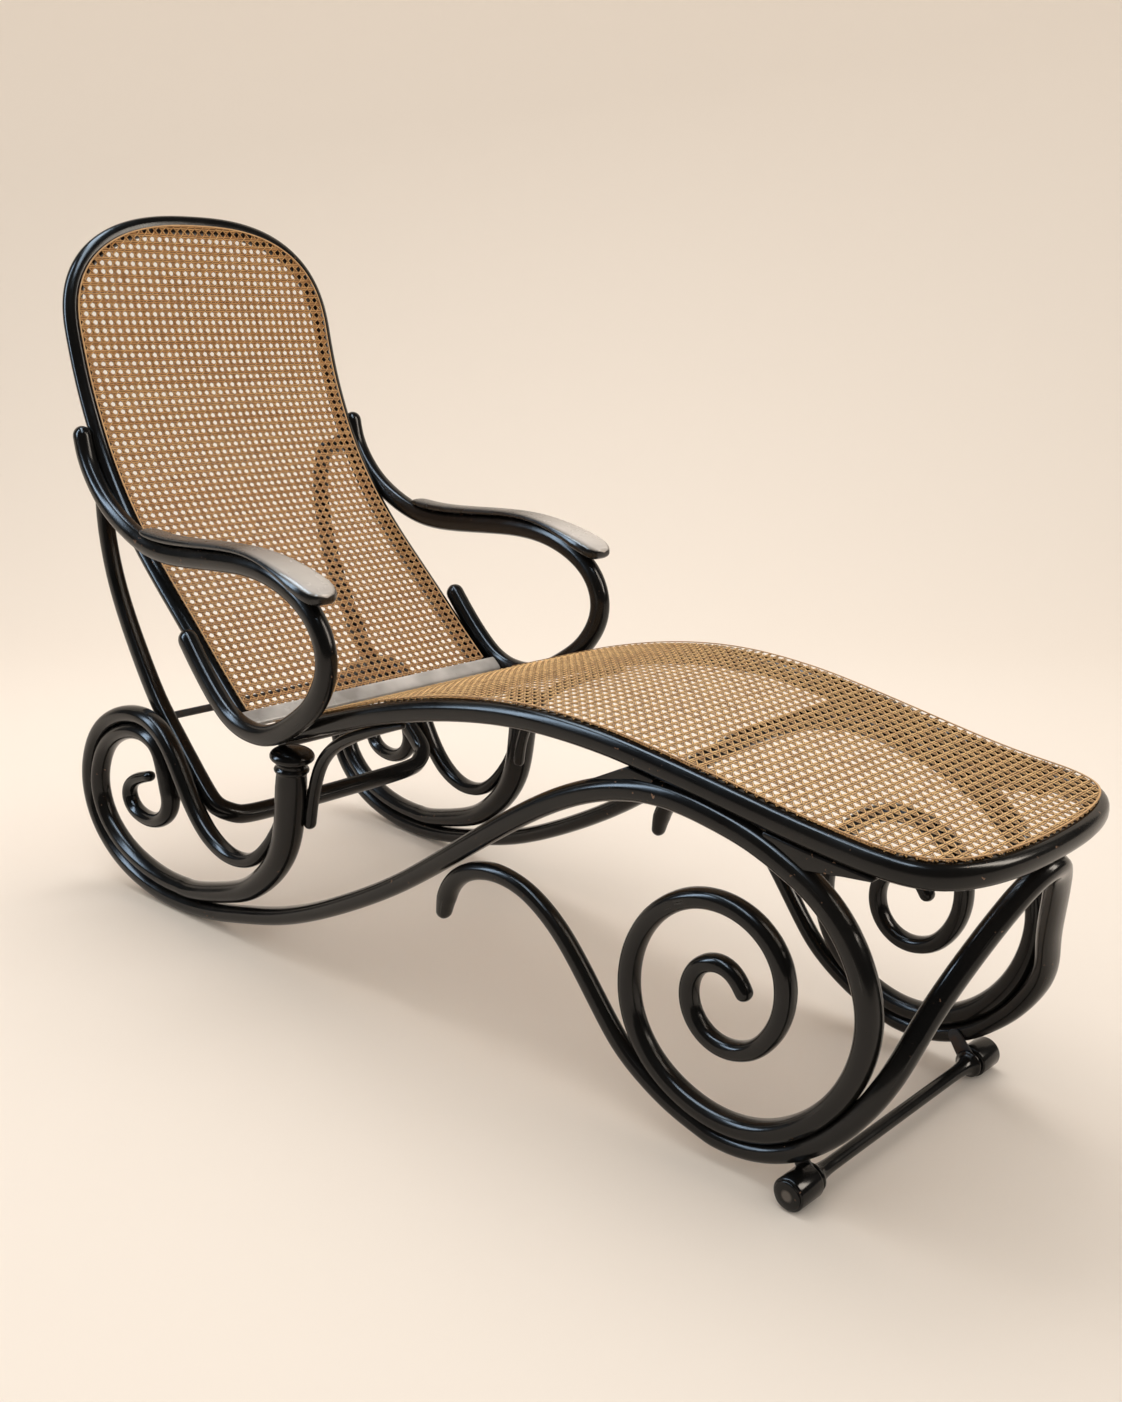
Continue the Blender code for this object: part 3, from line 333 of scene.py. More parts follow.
def sweepTree():
    # Geometry Nodes tree that sweeps a rounded or squared section along guide lines
    tree = bpy.data.node_groups.new("bentRod", "GeometryNodeTree")
    for name, kind in (("Geometry", "Geometry"), ("Sides", "Int"), ("Squareness", "Float"),
                       ("Smooth", "Bool"), ("Material", "Material")):
        tree.interface.new_socket(name=name, in_out="INPUT", socket_type="NodeSocket" + kind)
    tree.interface.new_socket(name="Geometry", in_out="OUTPUT", socket_type="NodeSocketGeometry")

    add = partial(addNode, tree)
    maths = partial(arithmetic, tree)

    def named(name, kind):
        return add("GeometryNodeInputNamedAttribute", {"Name": name}, data_type=kind)["Attribute"]

    def store(geometry, name, kind, value):
        return add("GeometryNodeStoreNamedAttribute", {"Geometry": geometry, "Name": name, "Value": value},
                   data_type=kind, domain="POINT")["Geometry"]

    def vectors(operation, sockets):
        return add("ShaderNodeVectorMath", sockets, operation=operation)

    given = add("NodeGroupInput", {})
    position = add("GeometryNodeInputPosition", {})[0]
    half, wide, across = named("half", "FLOAT"), named("wide", "FLOAT"), named("across", "FLOAT_VECTOR")

    # section: a circle drawn out toward a square
    circle = add("GeometryNodeCurvePrimitiveCircle", {"Resolution": given["Sides"], "Radius": 1.0})
    parts = add("ShaderNodeSeparateXYZ", {0: position})
    power = maths("DIVIDE", 2.0, given["Squareness"])
    drawn = {}
    for k in range(2):
        size = maths("POWER", maths("ABSOLUTE", parts[k]), power)
        drawn[k] = maths("MULTIPLY", size, maths("SIGN", parts[k]))
    joined = add("ShaderNodeCombineXYZ", drawn)
    section = add("GeometryNodeSetPosition", {"Geometry": circle["Curve"], "Position": joined[0]})

    # spine, with its own direction for the section's width
    spine = add("GeometryNodeMeshToCurve", {"Mesh": given["Geometry"]})
    turned = add("GeometryNodeSetCurveNormal", {"Curve": spine[0], "Normal": across}, mode="FREE")
    guided = store(turned[0], "spine", "FLOAT_VECTOR", position)
    swept = add("GeometryNodeCurveToMesh", {"Curve": guided, "Profile Curve": section[0], "Scale": half,
                                            "Fill Caps": True})

    # widen the section sideways, and keep how far across it each point lies
    away = vectors("SUBTRACT", {0: position, 1: named("spine", "FLOAT_VECTOR")})["Vector"]
    sideways = vectors("DOT_PRODUCT", {0: away, 1: across})["Value"]
    noted = store(swept[0], "edge", "FLOAT", maths("DIVIDE", sideways, half))
    grow = maths("SUBTRACT", maths("DIVIDE", wide, half), 1.0)
    offset = vectors("SCALE", {0: across, "Scale": maths("MULTIPLY", sideways, grow)})["Vector"]
    widened = add("GeometryNodeSetPosition", {"Geometry": noted, "Offset": offset})
    shaded = add("GeometryNodeSetShadeSmooth", {"Geometry": widened[0], "Shade Smooth": given["Smooth"]})
    real = add("GeometryNodeRealizeInstances", {0: shaded[0]})
    painted = add("GeometryNodeSetMaterial", {"Geometry": real[0], "Material": given["Material"]})
    add("NodeGroupOutput", {0: painted[0]})
    return tree


bentRodTree = sweepTree()


def placed(name, data):
    obj = bpy.data.objects.new(name, data)
    bpy.context.scene.collection.objects.link(obj)
    return obj


def settle(obj, body, node):
    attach(obj, body)
    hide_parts(node)


grainStep = 0.7     # moves the grain on from one swept length to the next


def sweepLines(name, lines, sectionSides, squareness, mat, smooth=True):
    # lines: (centres, across, half, wide, tone) for each swept length
    verts, edges, across = [], [], []
    values = {"half": [], "wide": [], "tone": [], "along": []}
    for centres, axes, halves, wides, tone in lines:
        first = len(verts)
        count = len(centres)
        verts.extend((x + shiftX, y, z) for x, y, z in centres)
        edges.extend((first + i, first + i + 1) for i in range(count - 1))
        across.extend(tuple(a) for a in axes)
        for label, numbers in zip(values, (halves, wides, tone, runLength(centres) + grainStep * first)):
            values[label].extend(np.broadcast_to(numbers, count))
    guide = bpy.data.meshes.new(name + "_guide")
    guide.from_pydata(verts, edges, [])
    for label, numbers in values.items():
        guide.attributes.new(label, "FLOAT", "POINT").data.foreach_set("value", np.array(numbers, np.float32))
    guide.attributes.new("across", "FLOAT_VECTOR", "POINT").data.foreach_set(
        "vector", np.array(across, np.float32).ravel())
    obj = placed(name, guide)
    mod = obj.modifiers.new("sweep", "NODES")
    mod.node_group = bentRodTree
    settings = {"Sides": sectionSides, "Squareness": squareness, "Smooth": smooth, "Material": mat}
    for item in bentRodTree.interface.items_tree:
        if item.in_out == "INPUT" and item.name in settings:
            mod[item.identifier] = settings[item.name]
    graph = bpy.context.evaluated_depsgraph_get()
    mesh = bpy.data.meshes.new_from_object(obj.evaluated_get(graph))
    for label in ("spine", "across", "half", "wide"):
        if label in mesh.attributes:
            mesh.attributes.remove(mesh.attributes[label])
    obj.modifiers.remove(mod)
    obj.data = mesh
    bpy.data.meshes.remove(guide)
    return obj


domeAngles = np.radians((20, 40, 58, 73, 84))


def domed(centres, across, half, wide, ends):
    # round off the ends of a swept line
    centres = np.asarray(centres, float)
    half = np.array(np.broadcast_to(half, len(centres)), float)
    wide = np.array(np.broadcast_to(wide, len(centres)), float)
    across = np.array(across, float)
    way = tangentsOf(centres)
    if ends[1]:
        tips = np.array([centres[-1] + way[-1] * half[-1] * math.sin(a) for a in domeAngles])
        shrink = np.cos(domeAngles)
        centres = np.vstack([centres, tips])
        across = np.vstack([across, np.repeat(across[[-1]], len(tips), axis=0)])
        half, wide = np.append(half, half[-1] * shrink), np.append(wide, wide[-1] * shrink)
    if ends[0]:
        turned = domed(centres[::-1], across[::-1], half[::-1], wide[::-1], (False, True))
        centres, across, half, wide = (rows[::-1] for rows in turned)
    return centres, across, half, wide


def bentRod(name, centres, across, half, wide, body, node, mat=blackWoodMat, slotName="ebonised_wood",
            sectionSides=20, squareness=2.0, ends=(True, True)):
    line = domed(centres, across, np.asarray(half) * roundFill, np.asarray(wide) * roundFill, ends)
    obj = sweepLines(name, [(*line, 0.5)], sectionSides, squareness, mat)
    settle(obj, body, node)


def sidePair(name, node, line, half, wide, **shape):
    for label, hand in sides:
        path = onSide(line, hand)
        across = squaredAcross(path, sideNormal(hand))
        bentRod(name + label, path, across, half, wide, "base", node + label, **shape)


def straightRod(name, at, ends, steps, axis, half, wide, body, node, **shape):
    # from one side to the other at a given x and z
    path = np.array([(at[0], y, at[1]) for y in np.linspace(*ends, steps)])
    bentRod(name, path, squaredAcross(path, axis), half, wide, body, node, ends=(False, False), **shape)


def finishMesh(name, bm, mat):
    mesh = bpy.data.meshes.new(name)
    bm.to_mesh(mesh)
    bm.free()
    mesh.materials.append(mat)
    for poly in mesh.polygons:
        poly.use_smooth = True
    return placed(name, mesh)


def joinRings(bm, pairs):
    for a, b in pairs:
        for k in range(len(a)):
            m = (k + 1) % len(a)
            bm.faces.new((a[k], a[m], b[m], b[k]))


def turnedPiece(name, profile, at, mat, steps):
    # turn a closed profile of (radius, y) about the y direction
    bm = bmesh.new()
    rings = []
    for step in range(steps):
        angle = 2 * math.pi * step / steps
        c, s = math.cos(angle), math.sin(angle)
        rings.append([bm.verts.new((at[0] + r * c, y, at[2] + r * s)) for r, y in profile])
    joinRings(bm, zip(rings, rings[1:] + rings[:1]))
    bmesh.ops.remove_doubles(bm, verts=bm.verts, dist=mergeWithin)
    bmesh.ops.dissolve_degenerate(bm, edges=bm.edges, dist=mergeWithin)
    bmesh.ops.recalc_face_normals(bm, faces=bm.faces)
    return finishMesh(name, bm, mat)


softening = {"flat": math.radians(1.5), "sharp": math.radians(28), "segments": 3,
             "orderAlong": Vector((1.0, math.sqrt(2), math.pi))}


def placeInOrder(item):
    spots = [item.co] if isinstance(item, bmesh.types.BMVert) else [v.co for v in item.verts]
    return sum(spot.dot(softening["orderAlong"]) for spot in spots) / len(spots)


def softenedNode(name, node, mat, width, body):
    # merged copy of a frame node with its sharp edges rounded
    bm = bmesh.new()
    bm.from_mesh(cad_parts[node].data)
    bmesh.ops.remove_doubles(bm, verts=bm.verts, dist=2 * mergeWithin)
    bmesh.ops.dissolve_limit(bm, angle_limit=softening["flat"], verts=bm.verts, edges=bm.edges)
    sharp = [e for e in bm.edges if len(e.link_faces) == 2 and e.calc_face_angle() > softening["sharp"]]
    bmesh.ops.bevel(bm, geom=sharp, offset=width, offset_type="WIDTH", segments=softening["segments"],
                    profile=0.5, affect="EDGES", clamp_overlap=True)
    bmesh.ops.triangulate(bm, faces=[f for f in bm.faces if len(f.verts) > 4])
    bmesh.ops.recalc_face_normals(bm, faces=bm.faces)
    # the bevel makes its points and faces in an order that changes from run to run
    for items in (bm.verts, bm.edges, bm.faces):
        items.sort(key=placeInOrder)
    settle(finishMesh(name, bm, mat), body, node)


sideRod = {
    "path": (
        (0.03, 0.248), (0.0185, 0.219), (0.003, 0.1945), (-0.0145, 0.1738), (-0.0345, 0.156),
        (-0.059, 0.144), (-0.09, 0.1385), (-0.124, 0.142), (-0.162, 0.159), (-0.193, 0.187),
        (-0.219, 0.222), (-0.25, 0.274), (-0.276, 0.306), (-0.306, 0.326), (-0.344, 0.335), (-0.39, 0.331),
        (-0.437, 0.315), (-0.482, 0.286), (-0.515, 0.244), (-0.533, 0.194), (-0.531, 0.15), (-0.515, 0.11),
        (-0.485, 0.076), (-0.441, 0.047), (-0.381, 0.026), (-0.306, 0.0145), (-0.222, 0.0165),
        (-0.143, 0.028), (-0.067, 0.046), (0.01, 0.066), (0.1, 0.099), (0.2, 0.146), (0.3, 0.2),
        (0.385, 0.255), (0.455, 0.303), (0.52, 0.347), (0.582, 0.386), (0.64, 0.416), (0.7, 0.4385),
        (0.76, 0.4496), (0.815, 0.4487), (0.868, 0.4391), (0.915, 0.4268), (0.96, 0.407), (0.994, 0.388),
        (1.024, 0.362), (1.047, 0.33), (1.063, 0.294), (1.071, 0.254), (1.067, 0.212), (1.053, 0.17),
        (1.03, 0.132), (1.0, 0.1), (0.964, 0.075), (0.926, 0.06), (0.886, 0.055), (0.845, 0.061),
        (0.806, 0.077), (0.773, 0.102), (0.75, 0.135), (0.739, 0.169), (0.737, 0.203), (0.744, 0.24),
        (0.762, 0.277), (0.789, 0.307), (0.822, 0.328), (0.856, 0.337), (0.889, 0.336), (0.92, 0.325),
        (0.945, 0.304), (0.96, 0.277), (0.964, 0.248), (0.96, 0.219), (0.947, 0.191), (0.927, 0.168),
        (0.902, 0.156), (0.876, 0.154), (0.852, 0.164), (0.835, 0.184), (0.829, 0.209), (0.834, 0.233),
        (0.848, 0.251), (0.868, 0.259), (0.886, 0.256), (0.899, 0.246), (0.908, 0.233)),
    "half": ((0.0, 0.003), (0.012, 0.0075), (0.03, 0.012), (0.065, 0.0145), (0.15, 0.0158), (0.45, 0.015),
             (0.6, 0.0165), (0.71, 0.0152), (0.82, 0.014), (0.93, 0.0128), (0.985, 0.0118), (1.0, 0.0104)),
}
sideLine = pathThrough(sideRod["path"])
sideHalf = shareTable(sideLine, sideRod["half"])
sideLine[:, 1] -= (sideLine[:, 1] - sideHalf * roundFill).min()     # stands on the floor
sidePair("sideRod_", "side_rod_", sideLine, sideHalf, sideHalf * layout["bentWidth"],
         squareness=layout["bentSquare"])

rearScroll = {
    "column": ((0.073, 0.3626), (0.0685, 0.33), (0.064, 0.295), (0.058, 0.258), (0.049, 0.216),
               (0.031, 0.178), (0.0, 0.14), (-0.045, 0.105), (-0.1, 0.078)),
    "columnHalf": ((0.0, 0.0268), (0.18, 0.0258), (0.35, 0.0242), (0.7, 0.0195), (1.0, 0.0165)),
    # turned top: depth below the top, radius per shaft radius
    "turning": ((0.0, 0.0), (0.0003, 0.4), (0.0012, 0.72), (0.0028, 0.98), (0.005, 1.17), (0.0078, 1.3),
                (0.0108, 1.36), (0.014, 1.36), (0.0168, 1.3), (0.019, 1.2), (0.0206, 1.09), (0.022, 1.01),
                (0.024, 0.95), (0.0265, 0.92), (0.0288, 0.93), (0.0302, 0.96), (0.0312, 1.02),
                (0.0326, 1.07), (0.0346, 1.09), (0.0366, 1.07), (0.038, 1.02), (0.039, 0.97),
                (0.0404, 0.945), (0.0425, 0.94), (0.046, 0.95), (0.052, 0.97), (0.06, 0.985)),
    "curl": ((-0.281, 0.224), (-0.276, 0.198), (-0.289, 0.17), (-0.319, 0.152), (-0.352, 0.147),
             (-0.384, 0.153), (-0.402, 0.168), (-0.406, 0.187), (-0.394, 0.205), (-0.369, 0.218),
             (-0.338, 0.228)),
    "curlHalf": ((0.0, 0.016), (0.3, 0.0155), (0.75, 0.013), (1.0, 0.01)),
    "from": (-0.262, 0.29), "to": (-0.19, 0.024),     # the stretch that lies against the side rod
    "blend": 9, "trim": 3, "ease": 24,                # points at its ends that join, drop out or thicken
    "spacing": 0.004, "headGap": 0.002, "pole": 0.02, "widenOver": (0.35, 0.8),
}


def lapLine(line, half, first, last, own):
    # path of a rod that lies against a stretch of another
    away = np.zeros(len(line))
    away[first:last + 1] = half[first:last + 1] * flat8 + workGap + own * flat8
    return offsetLeft(line, away)[first:last + 1]


first, last = (nearestTo(sideLine, rearScroll[key]) for key in ("from", "to"))
blend, trim, ease = (rearScroll[key] for key in ("blend", "trim", "ease"))
own = np.full(last + 1 - first, rearScroll["curlHalf"][0][1])
own[-ease:] = np.linspace(own[0], rearScroll["columnHalf"][-1][1], ease)
against = lapLine(sideLine, sideHalf, first, last, own)[::-1][trim:-trim]
ownHalf = own[::-1][trim:-trim]
column = pathThrough(np.vstack([rearScroll["column"], against[[0, blend - 1]]]), rearScroll["spacing"])
columnHalf = shareTable(column, rearScroll["columnHalf"])
columnRun = runLength(column)
turnDepth, turnSize = np.array(rearScroll["turning"]).T
shaft = columnRun > turnDepth[-1] + rearScroll["headGap"]
head = readAlong(turnDepth, columnRun, column)
headHalf = np.interp(turnDepth, columnRun, columnHalf) * np.maximum(turnSize, rearScroll["pole"])
columnRatio = np.interp(columnRun[shaft] / columnRun[-1], rearScroll["widenOver"], (1.0, layout["bentWidth"]))
curl = pathThrough(np.vstack([against[[-blend, -1]], rearScroll["curl"]]), rearScroll["spacing"])
scrollLine = np.vstack([head, column[shaft], against[blend:-blend], curl])
scrollHalf = np.concatenate([headHalf, columnHalf[shaft], ownHalf[blend:-blend],
                             shareTable(curl, rearScroll["curlHalf"])])
scrollRatio = np.concatenate([np.ones(len(head)), columnRatio,
                              np.full(len(against) - 2 * blend + len(curl), layout["bentWidth"])])
sidePair("rearScroll_", "rear_scroll_", scrollLine, scrollHalf, scrollHalf * scrollRatio, ends=(False, True),
         sectionSides=28)

brace = {
    # x, z, how far it is inside the plane of the side frame
    "path": ((0.0775, 0.236, 0.0222), (0.085, 0.272, 0.0225), (0.0985, 0.307, 0.021), (0.118, 0.342, 0.018),
             (0.149, 0.372, 0.014), (0.19, 0.397, 0.01), (0.24, 0.4183, 0.007), (0.285, 0.4338, 0.005),
             (0.322, 0.4452, 0.004)),
    "half": ((0.0, 0.0095), (0.3, 0.01), (0.6, 0.01), (0.85, 0.0075), (1.0, 0.0045)),
}
braceLine = pathThrough(brace["path"])
braceHalf = shareTable(braceLine, brace["half"])
sidePair("brace_", "brace_", braceLine, braceHalf, braceHalf * layout["bentWidth"])

footRod = {
    "hook": ((0.402, 0.19), (0.411, 0.221), (0.43, 0.247), (0.456, 0.264), (0.485, 0.273), (0.518, 0.275),
             (0.556, 0.267), (0.589, 0.25), (0.62, 0.226), (0.647, 0.197), (0.677, 0.159), (0.707, 0.121),
             (0.74, 0.088)),
    "hookHalf": ((0.0, 0.0112), (0.04, 0.014), (0.1, 0.0142), (0.3, 0.0122), (1.0, 0.0125)),
    "from": (1.035, 0.14), "to": (0.8, 0.08), "blend": 13,
    # rising leg: x, share of the half width at its foot, z
    "leg": ((1.093, 0.929, 0.185), (1.11, 0.73, 0.252), (1.135, 0.49, 0.324), (1.156, 0.26, 0.379),
            (1.167, 0.092, 0.402)),
    "legHalf": 0.0148, "lapShare": 0.9, "legFrom": 0.15, "width": 1.08,
}
first, last = (nearestTo(sideLine, footRod[key]) for key in ("from", "to"))
blend, legHalf, legFrom = (footRod[key] for key in ("blend", "legHalf", "legFrom"))
own = np.linspace(legHalf * footRod["lapShare"], footRod["hookHalf"][-1][1], last + 1 - first)
against = lapLine(sideLine, sideHalf, first, last, own)[::-1]
own = own[::-1]
hook = pathThrough(np.vstack([footRod["hook"], against[[2, blend - 1]]]))
flatHalf = np.concatenate([shareTable(hook, footRod["hookHalf"]), own[blend:-blend]])
rightPath = onSide(np.vstack([hook, against[blend:-blend]]), -1)
legWidth = sideY(footRod["leg"][0][0])
leg = [(x, -share * legWidth, z) for x, share, z in footRod["leg"]]
rightArch = np.vstack([onSide(against[[-blend, -3]], -1), leg])
arch = pathThrough(np.vstack([rightArch, mirrored(rightArch)]))
lapHalf = own[-blend]
archHalf = shareTable(arch, ((0.0, lapHalf), (legFrom, legHalf), (1 - legFrom, legHalf), (1.0, lapHalf)))
path = np.vstack([rightPath, arch[1:-1], mirrored(rightPath)])
half = np.concatenate([flatHalf, archHalf[1:-1], flatHalf[::-1]])
bentRod("footRod", path, carriedAcross(path, sideNormal(-1)), half, half * footRod["width"], "base",
        "foot_rod", squareness=layout["bentSquare"])
print("side frames made")

seatRail = {
    "side": ((0.01, 0.372), (0.046, 0.382), (0.115, 0.404), (0.212, 0.435), (0.293, 0.459), (0.381, 0.48),
             (0.459, 0.4935), (0.529, 0.501), (0.6, 0.503), (0.675, 0.499), (0.746, 0.491), (0.862, 0.4715),
             (0.957, 0.4545), (1.03, 0.444), (1.085, 0.439)),
    # corner and front edge: how far behind the front, share of the half width at the end of the side
    "front": ((0.047, 0.917), (0.021, 0.739), (0.007, 0.494), (0.001, 0.229)),
    "frontReach": 0.088, "frontZ": 0.436, "tall": 0.0165, "wide": 0.016, "square": 2.4,
}
railFlat = flat8 ** (2 / seatRail["square"])
railEnd = seatRail["side"][-1][0]
frontX, frontZ = railEnd + seatRail["frontReach"], seatRail["frontZ"]
railRight = [(x, -sideY(x), z) for x, z in seatRail["side"]]
railRight += [(frontX - behind, -share * sideY(railEnd), frontZ) for behind, share in seatRail["front"]]
railPath = pathThrough(bothHalves(np.array(railRight + [(frontX, 0.0, frontZ)])))
railWay = tangentsOf(railPath)
railAcross = unit(np.cross(railWay, (0, 0, 1)))
bentRod("seatRail", railPath, railAcross, seatRail["tall"], seatRail["wide"], "base", "seat_rail",
        sectionSides=24, squareness=seatRail["square"])

crossRail = {"x": 0.023, "z": 0.361, "half": 0.013, "steps": 12}
reach = sideY(crossRail["x"] + crossRail["half"]) - seatRail["wide"] * railFlat - workGap
straightRod("seatCrossRail", (crossRail["x"], crossRail["z"]), (-reach, reach), crossRail["steps"], (1, 0, 0),
            crossRail["half"], crossRail["half"], "base", "seat_cross_rail")

backBow = {
    "side": ((-0.027, 0.366), (-0.067, 0.3995), (-0.1105, 0.437), (-0.153, 0.476), (-0.197, 0.517),
             (-0.272, 0.584), (-0.335, 0.646), (-0.385, 0.708), (-0.423, 0.768), (-0.4515, 0.827),
             (-0.476, 0.89), (-0.492, 0.95), (-0.504, 1.01), (-0.514, 1.08), (-0.522, 1.16)),
    "half": 0.2545, "rod": 0.015, "wide": 0.017, "corner": 0.19, "power": 2.5, "cornerSteps": 60,
    "spacing": 0.006,
}
backProfile = smoothLine(backBow["side"])
backWay = tangentsOf(backProfile)
cornerZ = backBow["side"][-1][1] - backBow["corner"]


def backHalfWidth(z, inset):
    rise = np.clip((z - cornerZ) / (backBow["corner"] - inset), 0, 1)
    return (backBow["half"] - inset) * (1 - rise ** backBow["power"]) ** (1 / backBow["power"])


def backNormal(z):
    way = readAlong(z, backProfile[:, 1], backWay)
    return unit(np.stack([way[..., 1], np.zeros_like(way[..., 1]), -way[..., 0]], axis=-1))


def bowPath():
    rows = [(x, -backBow["half"], z) for x, z in backProfile if z < cornerZ]
    for angle in np.radians(np.linspace(2, 90, backBow["cornerSteps"])):
        c = max(math.cos(angle), 0.0) ** (2 / backBow["power"])
        z = cornerZ + backBow["corner"] * math.sin(angle) ** (2 / backBow["power"])
        rows.append((np.interp(z, backProfile[:, 1], backProfile[:, 0]), -backBow["half"] * c, z))
    rows[-1] = (rows[-1][0], 0.0, rows[-1][2])
    return evenLine(bothHalves(np.array(rows)), backBow["spacing"])


bow = bowPath()
bowAcross = unit(np.cross(tangentsOf(bow), backNormal(bow[:, 2])))
bentRod("backBow", bow, bowAcross, backBow["rod"], backBow["wide"], "back", "back_bow")

sill = {"long": 0.03, "thick": 0.012, "at": 0.015, "square": 3.2, "steps": 30,
        # where along its place the back's slope is read, how far it laps the bow, gap to the cane
        "slopeAt": 0.6, "lap": 0.8, "caneGap": 0.001}
footZ = bow[0][2]
normal = Vector(backNormal(np.array(footZ + sill["at"] * sill["slopeAt"])))
up = Vector((-normal.z, 0.0, normal.x))
centre = Vector((bow[0][0], 0.0, footZ)) + up * sill["at"]
centre += normal * (backBow["rod"] * flat8 + sill["thick"] / 2 + 2 * workGap)
reach = backBow["half"] + backBow["rod"] * sill["lap"]
# its finish carries a painted sheen as well as wear
straightRod("backSill", (centre.x, centre.z), (-reach, reach), sill["steps"], up, sill["thick"] / 2,
            sill["long"] / 2, "back", "back_sill", mat=wearSheenWoodMat, slotName="worn_ebonised_wood",
            sectionSides=28, squareness=sill["square"])
print("seat and back frames made")

cane = {
    "pitch": 0.0143, "strand": 0.003, "slant": 0.0026, "pair": 0.0031, "thick": 0.0013, "panel": 0.003,
    "square": 8.0, "jitter": 0.00018, "trim": 0.0028, "seatLap": 0.006, "seed": 7,
    # the last value makes the seat strands paler than the back's: painted light for the overhead light falling
    # on the seat
    "edgeSteps": 10, "fewestPoints": 3, "seatPaintedLight": 0.6,
    # how pale the strands of each layer are: lowest, highest
    "tones": {"lengthwise": (0.0, 0.5), "crosswise": (0.1, 0.6), "rising": (0.3, 0.9), "falling": (0.3, 0.9)},
}


def panelLines(profile, normals, halfWidth, startAt, rise, paintedLight=0.0):
    # profile: drawn (x, z) line with its normals. Gives the strand lines of each of the four layers.
    run = runLength(profile)
    total = run[-1]
    pitch, thick = cane["pitch"], cane["thick"]
    rng = np.random.default_rng(cane["seed"])
    families = {name: [] for name in cane["tones"]}

    def onPanel(s, y, lift):
        norm = unit(readAlong(s, run, normals))
        spot = readAlong(s, run, profile) + norm * (rise + lift - thick / 2)[..., None]
        ups = np.stack([norm[..., 0], np.zeros_like(y), norm[..., 1]], axis=-1)
        return np.stack([spot[..., 0], y, spot[..., 1]], axis=-1), ups

    def edgePoint(inside, outside):
        # where a strand meets the outline, nearly up to it
        for _ in range(cane["edgeSteps"]):
            middle = (inside + outside) / 2
            if abs(middle[1]) <= halfWidth(middle[0]):
                inside = middle
            else:
                outside = middle
        return inside

    def strand(family, s, y, lift):
        inside = np.abs(y) <= halfWidth(s)
        edges = np.flatnonzero(np.diff(np.concatenate([[0], inside.astype(int), [0]])))
        for a, b in zip(edges[::2], edges[1::2]):
            if b - a < cane["fewestPoints"]:
                continue
            rows = np.stack([s, y, lift], axis=1)
            line = rows[a:b]
            if a > 0:
                line = np.vstack([[edgePoint(rows[a], rows[a - 1])], line])
            if b < len(rows):
                line = np.vstack([line, [edgePoint(rows[b - 1], rows[b])]])
            spots, ups = onPanel(*line.T)
            axes = unit(np.cross(tangentsOf(spots), ups))
            # the seat's strands get painted light on top of their own tone
            tone = float(rng.uniform(*cane["tones"][family])) + paintedLight
            wide = cane["slant" if family in ("rising", "falling") else "strand"]
            families[family].append((spots, axes, thick / 2, wide / 2, tone))

    def besidePair(at):
        return [at + side * cane["pair"] + rng.normal(0, cane["jitter"]) for side in (-0.5, 0.5)]

    widest = float(np.max(halfWidth(np.linspace(startAt, total, 200))))
    rowsAt = np.arange(startAt + pitch * 0.5, total, pitch)
    reachCount = math.floor(widest / pitch)
    along = np.arange(startAt, total, pitch / 2)
    acrossLine = np.arange(-widest, widest + pitch / 2, pitch / 2)
    for y0 in np.arange(-reachCount, reachCount + 1) * pitch:
        for y in besidePair(y0):
            strand("lengthwise", along, np.full_like(along, y), np.zeros_like(along))
    for s0 in rowsAt:
        for s in besidePair(s0):
            strand("crosswise", np.full_like(acrossLine, s), acrossLine, np.full_like(acrossLine, thick))
    # diagonals cross the pairs halfway between their crossings, over one pair and under the next
    quarter = pitch / 4
    count = math.ceil((total - startAt + 2 * widest) / pitch)
    origin = rowsAt[0]
    steps = np.arange(-math.ceil((origin - startAt) / quarter), math.ceil((total - origin) / quarter))
    s = origin + steps * quarter
    phase = (s - origin) / pitch * 2 * math.pi      # whole turns at the crosswise pairs
    for sign, family, high, low in ((1, "rising", 2.0, -1.0), (-1, "falling", 0.0, 1.0)):
        lift = thick * ((high + low) / 2 + (high - low) / 2 * np.cos(phase))
        for k in range(-count, count + 1):
            strand(family, s, sign * ((s - origin) + (k + 0.5) * pitch), lift)
    return families


def layCane(panel, families, body, node):
    for family, lines in families.items():
        obj = sweepLines(f"{panel}_{family}", lines, 4, cane["square"], caneMat, smooth=False)
        settle(obj, body, node)


pivot = {"x": 0.026, "pin": 0.005, "head": 0.0095, "headTall": 0.003, "caneClear": 0.003}
caneStart = pivot["x"] + pivot["head"] + pivot["caneClear"]
seatSide = railPath[:len(railPath) // 2 + 1]
seatAcross = railAcross[:len(seatSide)]
# plan of the line on which the strands end
plan = seatSide[:, :2] + seatAcross[:, :2] * (cane["seatLap"] - cane["trim"])
seatX = np.linspace(seatSide[0, 0], plan[:, 0].max(), 400)
seatProfile = np.stack([seatX, np.interp(seatX, seatSide[:, 0], seatSide[:, 2])], axis=1)
seatWay = tangentsOf(seatProfile)
seatNormals = np.stack([-seatWay[:, 1], seatWay[:, 0]], axis=1)
seatRise = seatRail["tall"] * railFlat + workGap + cane["panel"] / 2
seatRun = runLength(seatProfile)


def seatHalfWidth(s):
    x = np.interp(s, seatRun, seatProfile[:, 0])
    return np.interp(x, plan[:, 0], -plan[:, 1], right=0.0)


seatStart = np.interp(caneStart, seatX, seatRun)
seatLines = panelLines(seatProfile, seatNormals, seatHalfWidth, seatStart, seatRise, cane["seatPaintedLight"])
layCane("seatCane", seatLines, "base", "seat_cane")

backRise = backBow["rod"] * flat8 + workGap + cane["panel"] / 2
backNormals = np.stack([backWay[:, 1], -backWay[:, 0]], axis=1)
backRun = runLength(backProfile)
sillTop = sill["at"] + sill["long"] / 2 + sill["caneGap"]


def backPanelHalf(s):
    return backHalfWidth(np.interp(s, backRun, backProfile[:, 1]), cane["trim"])


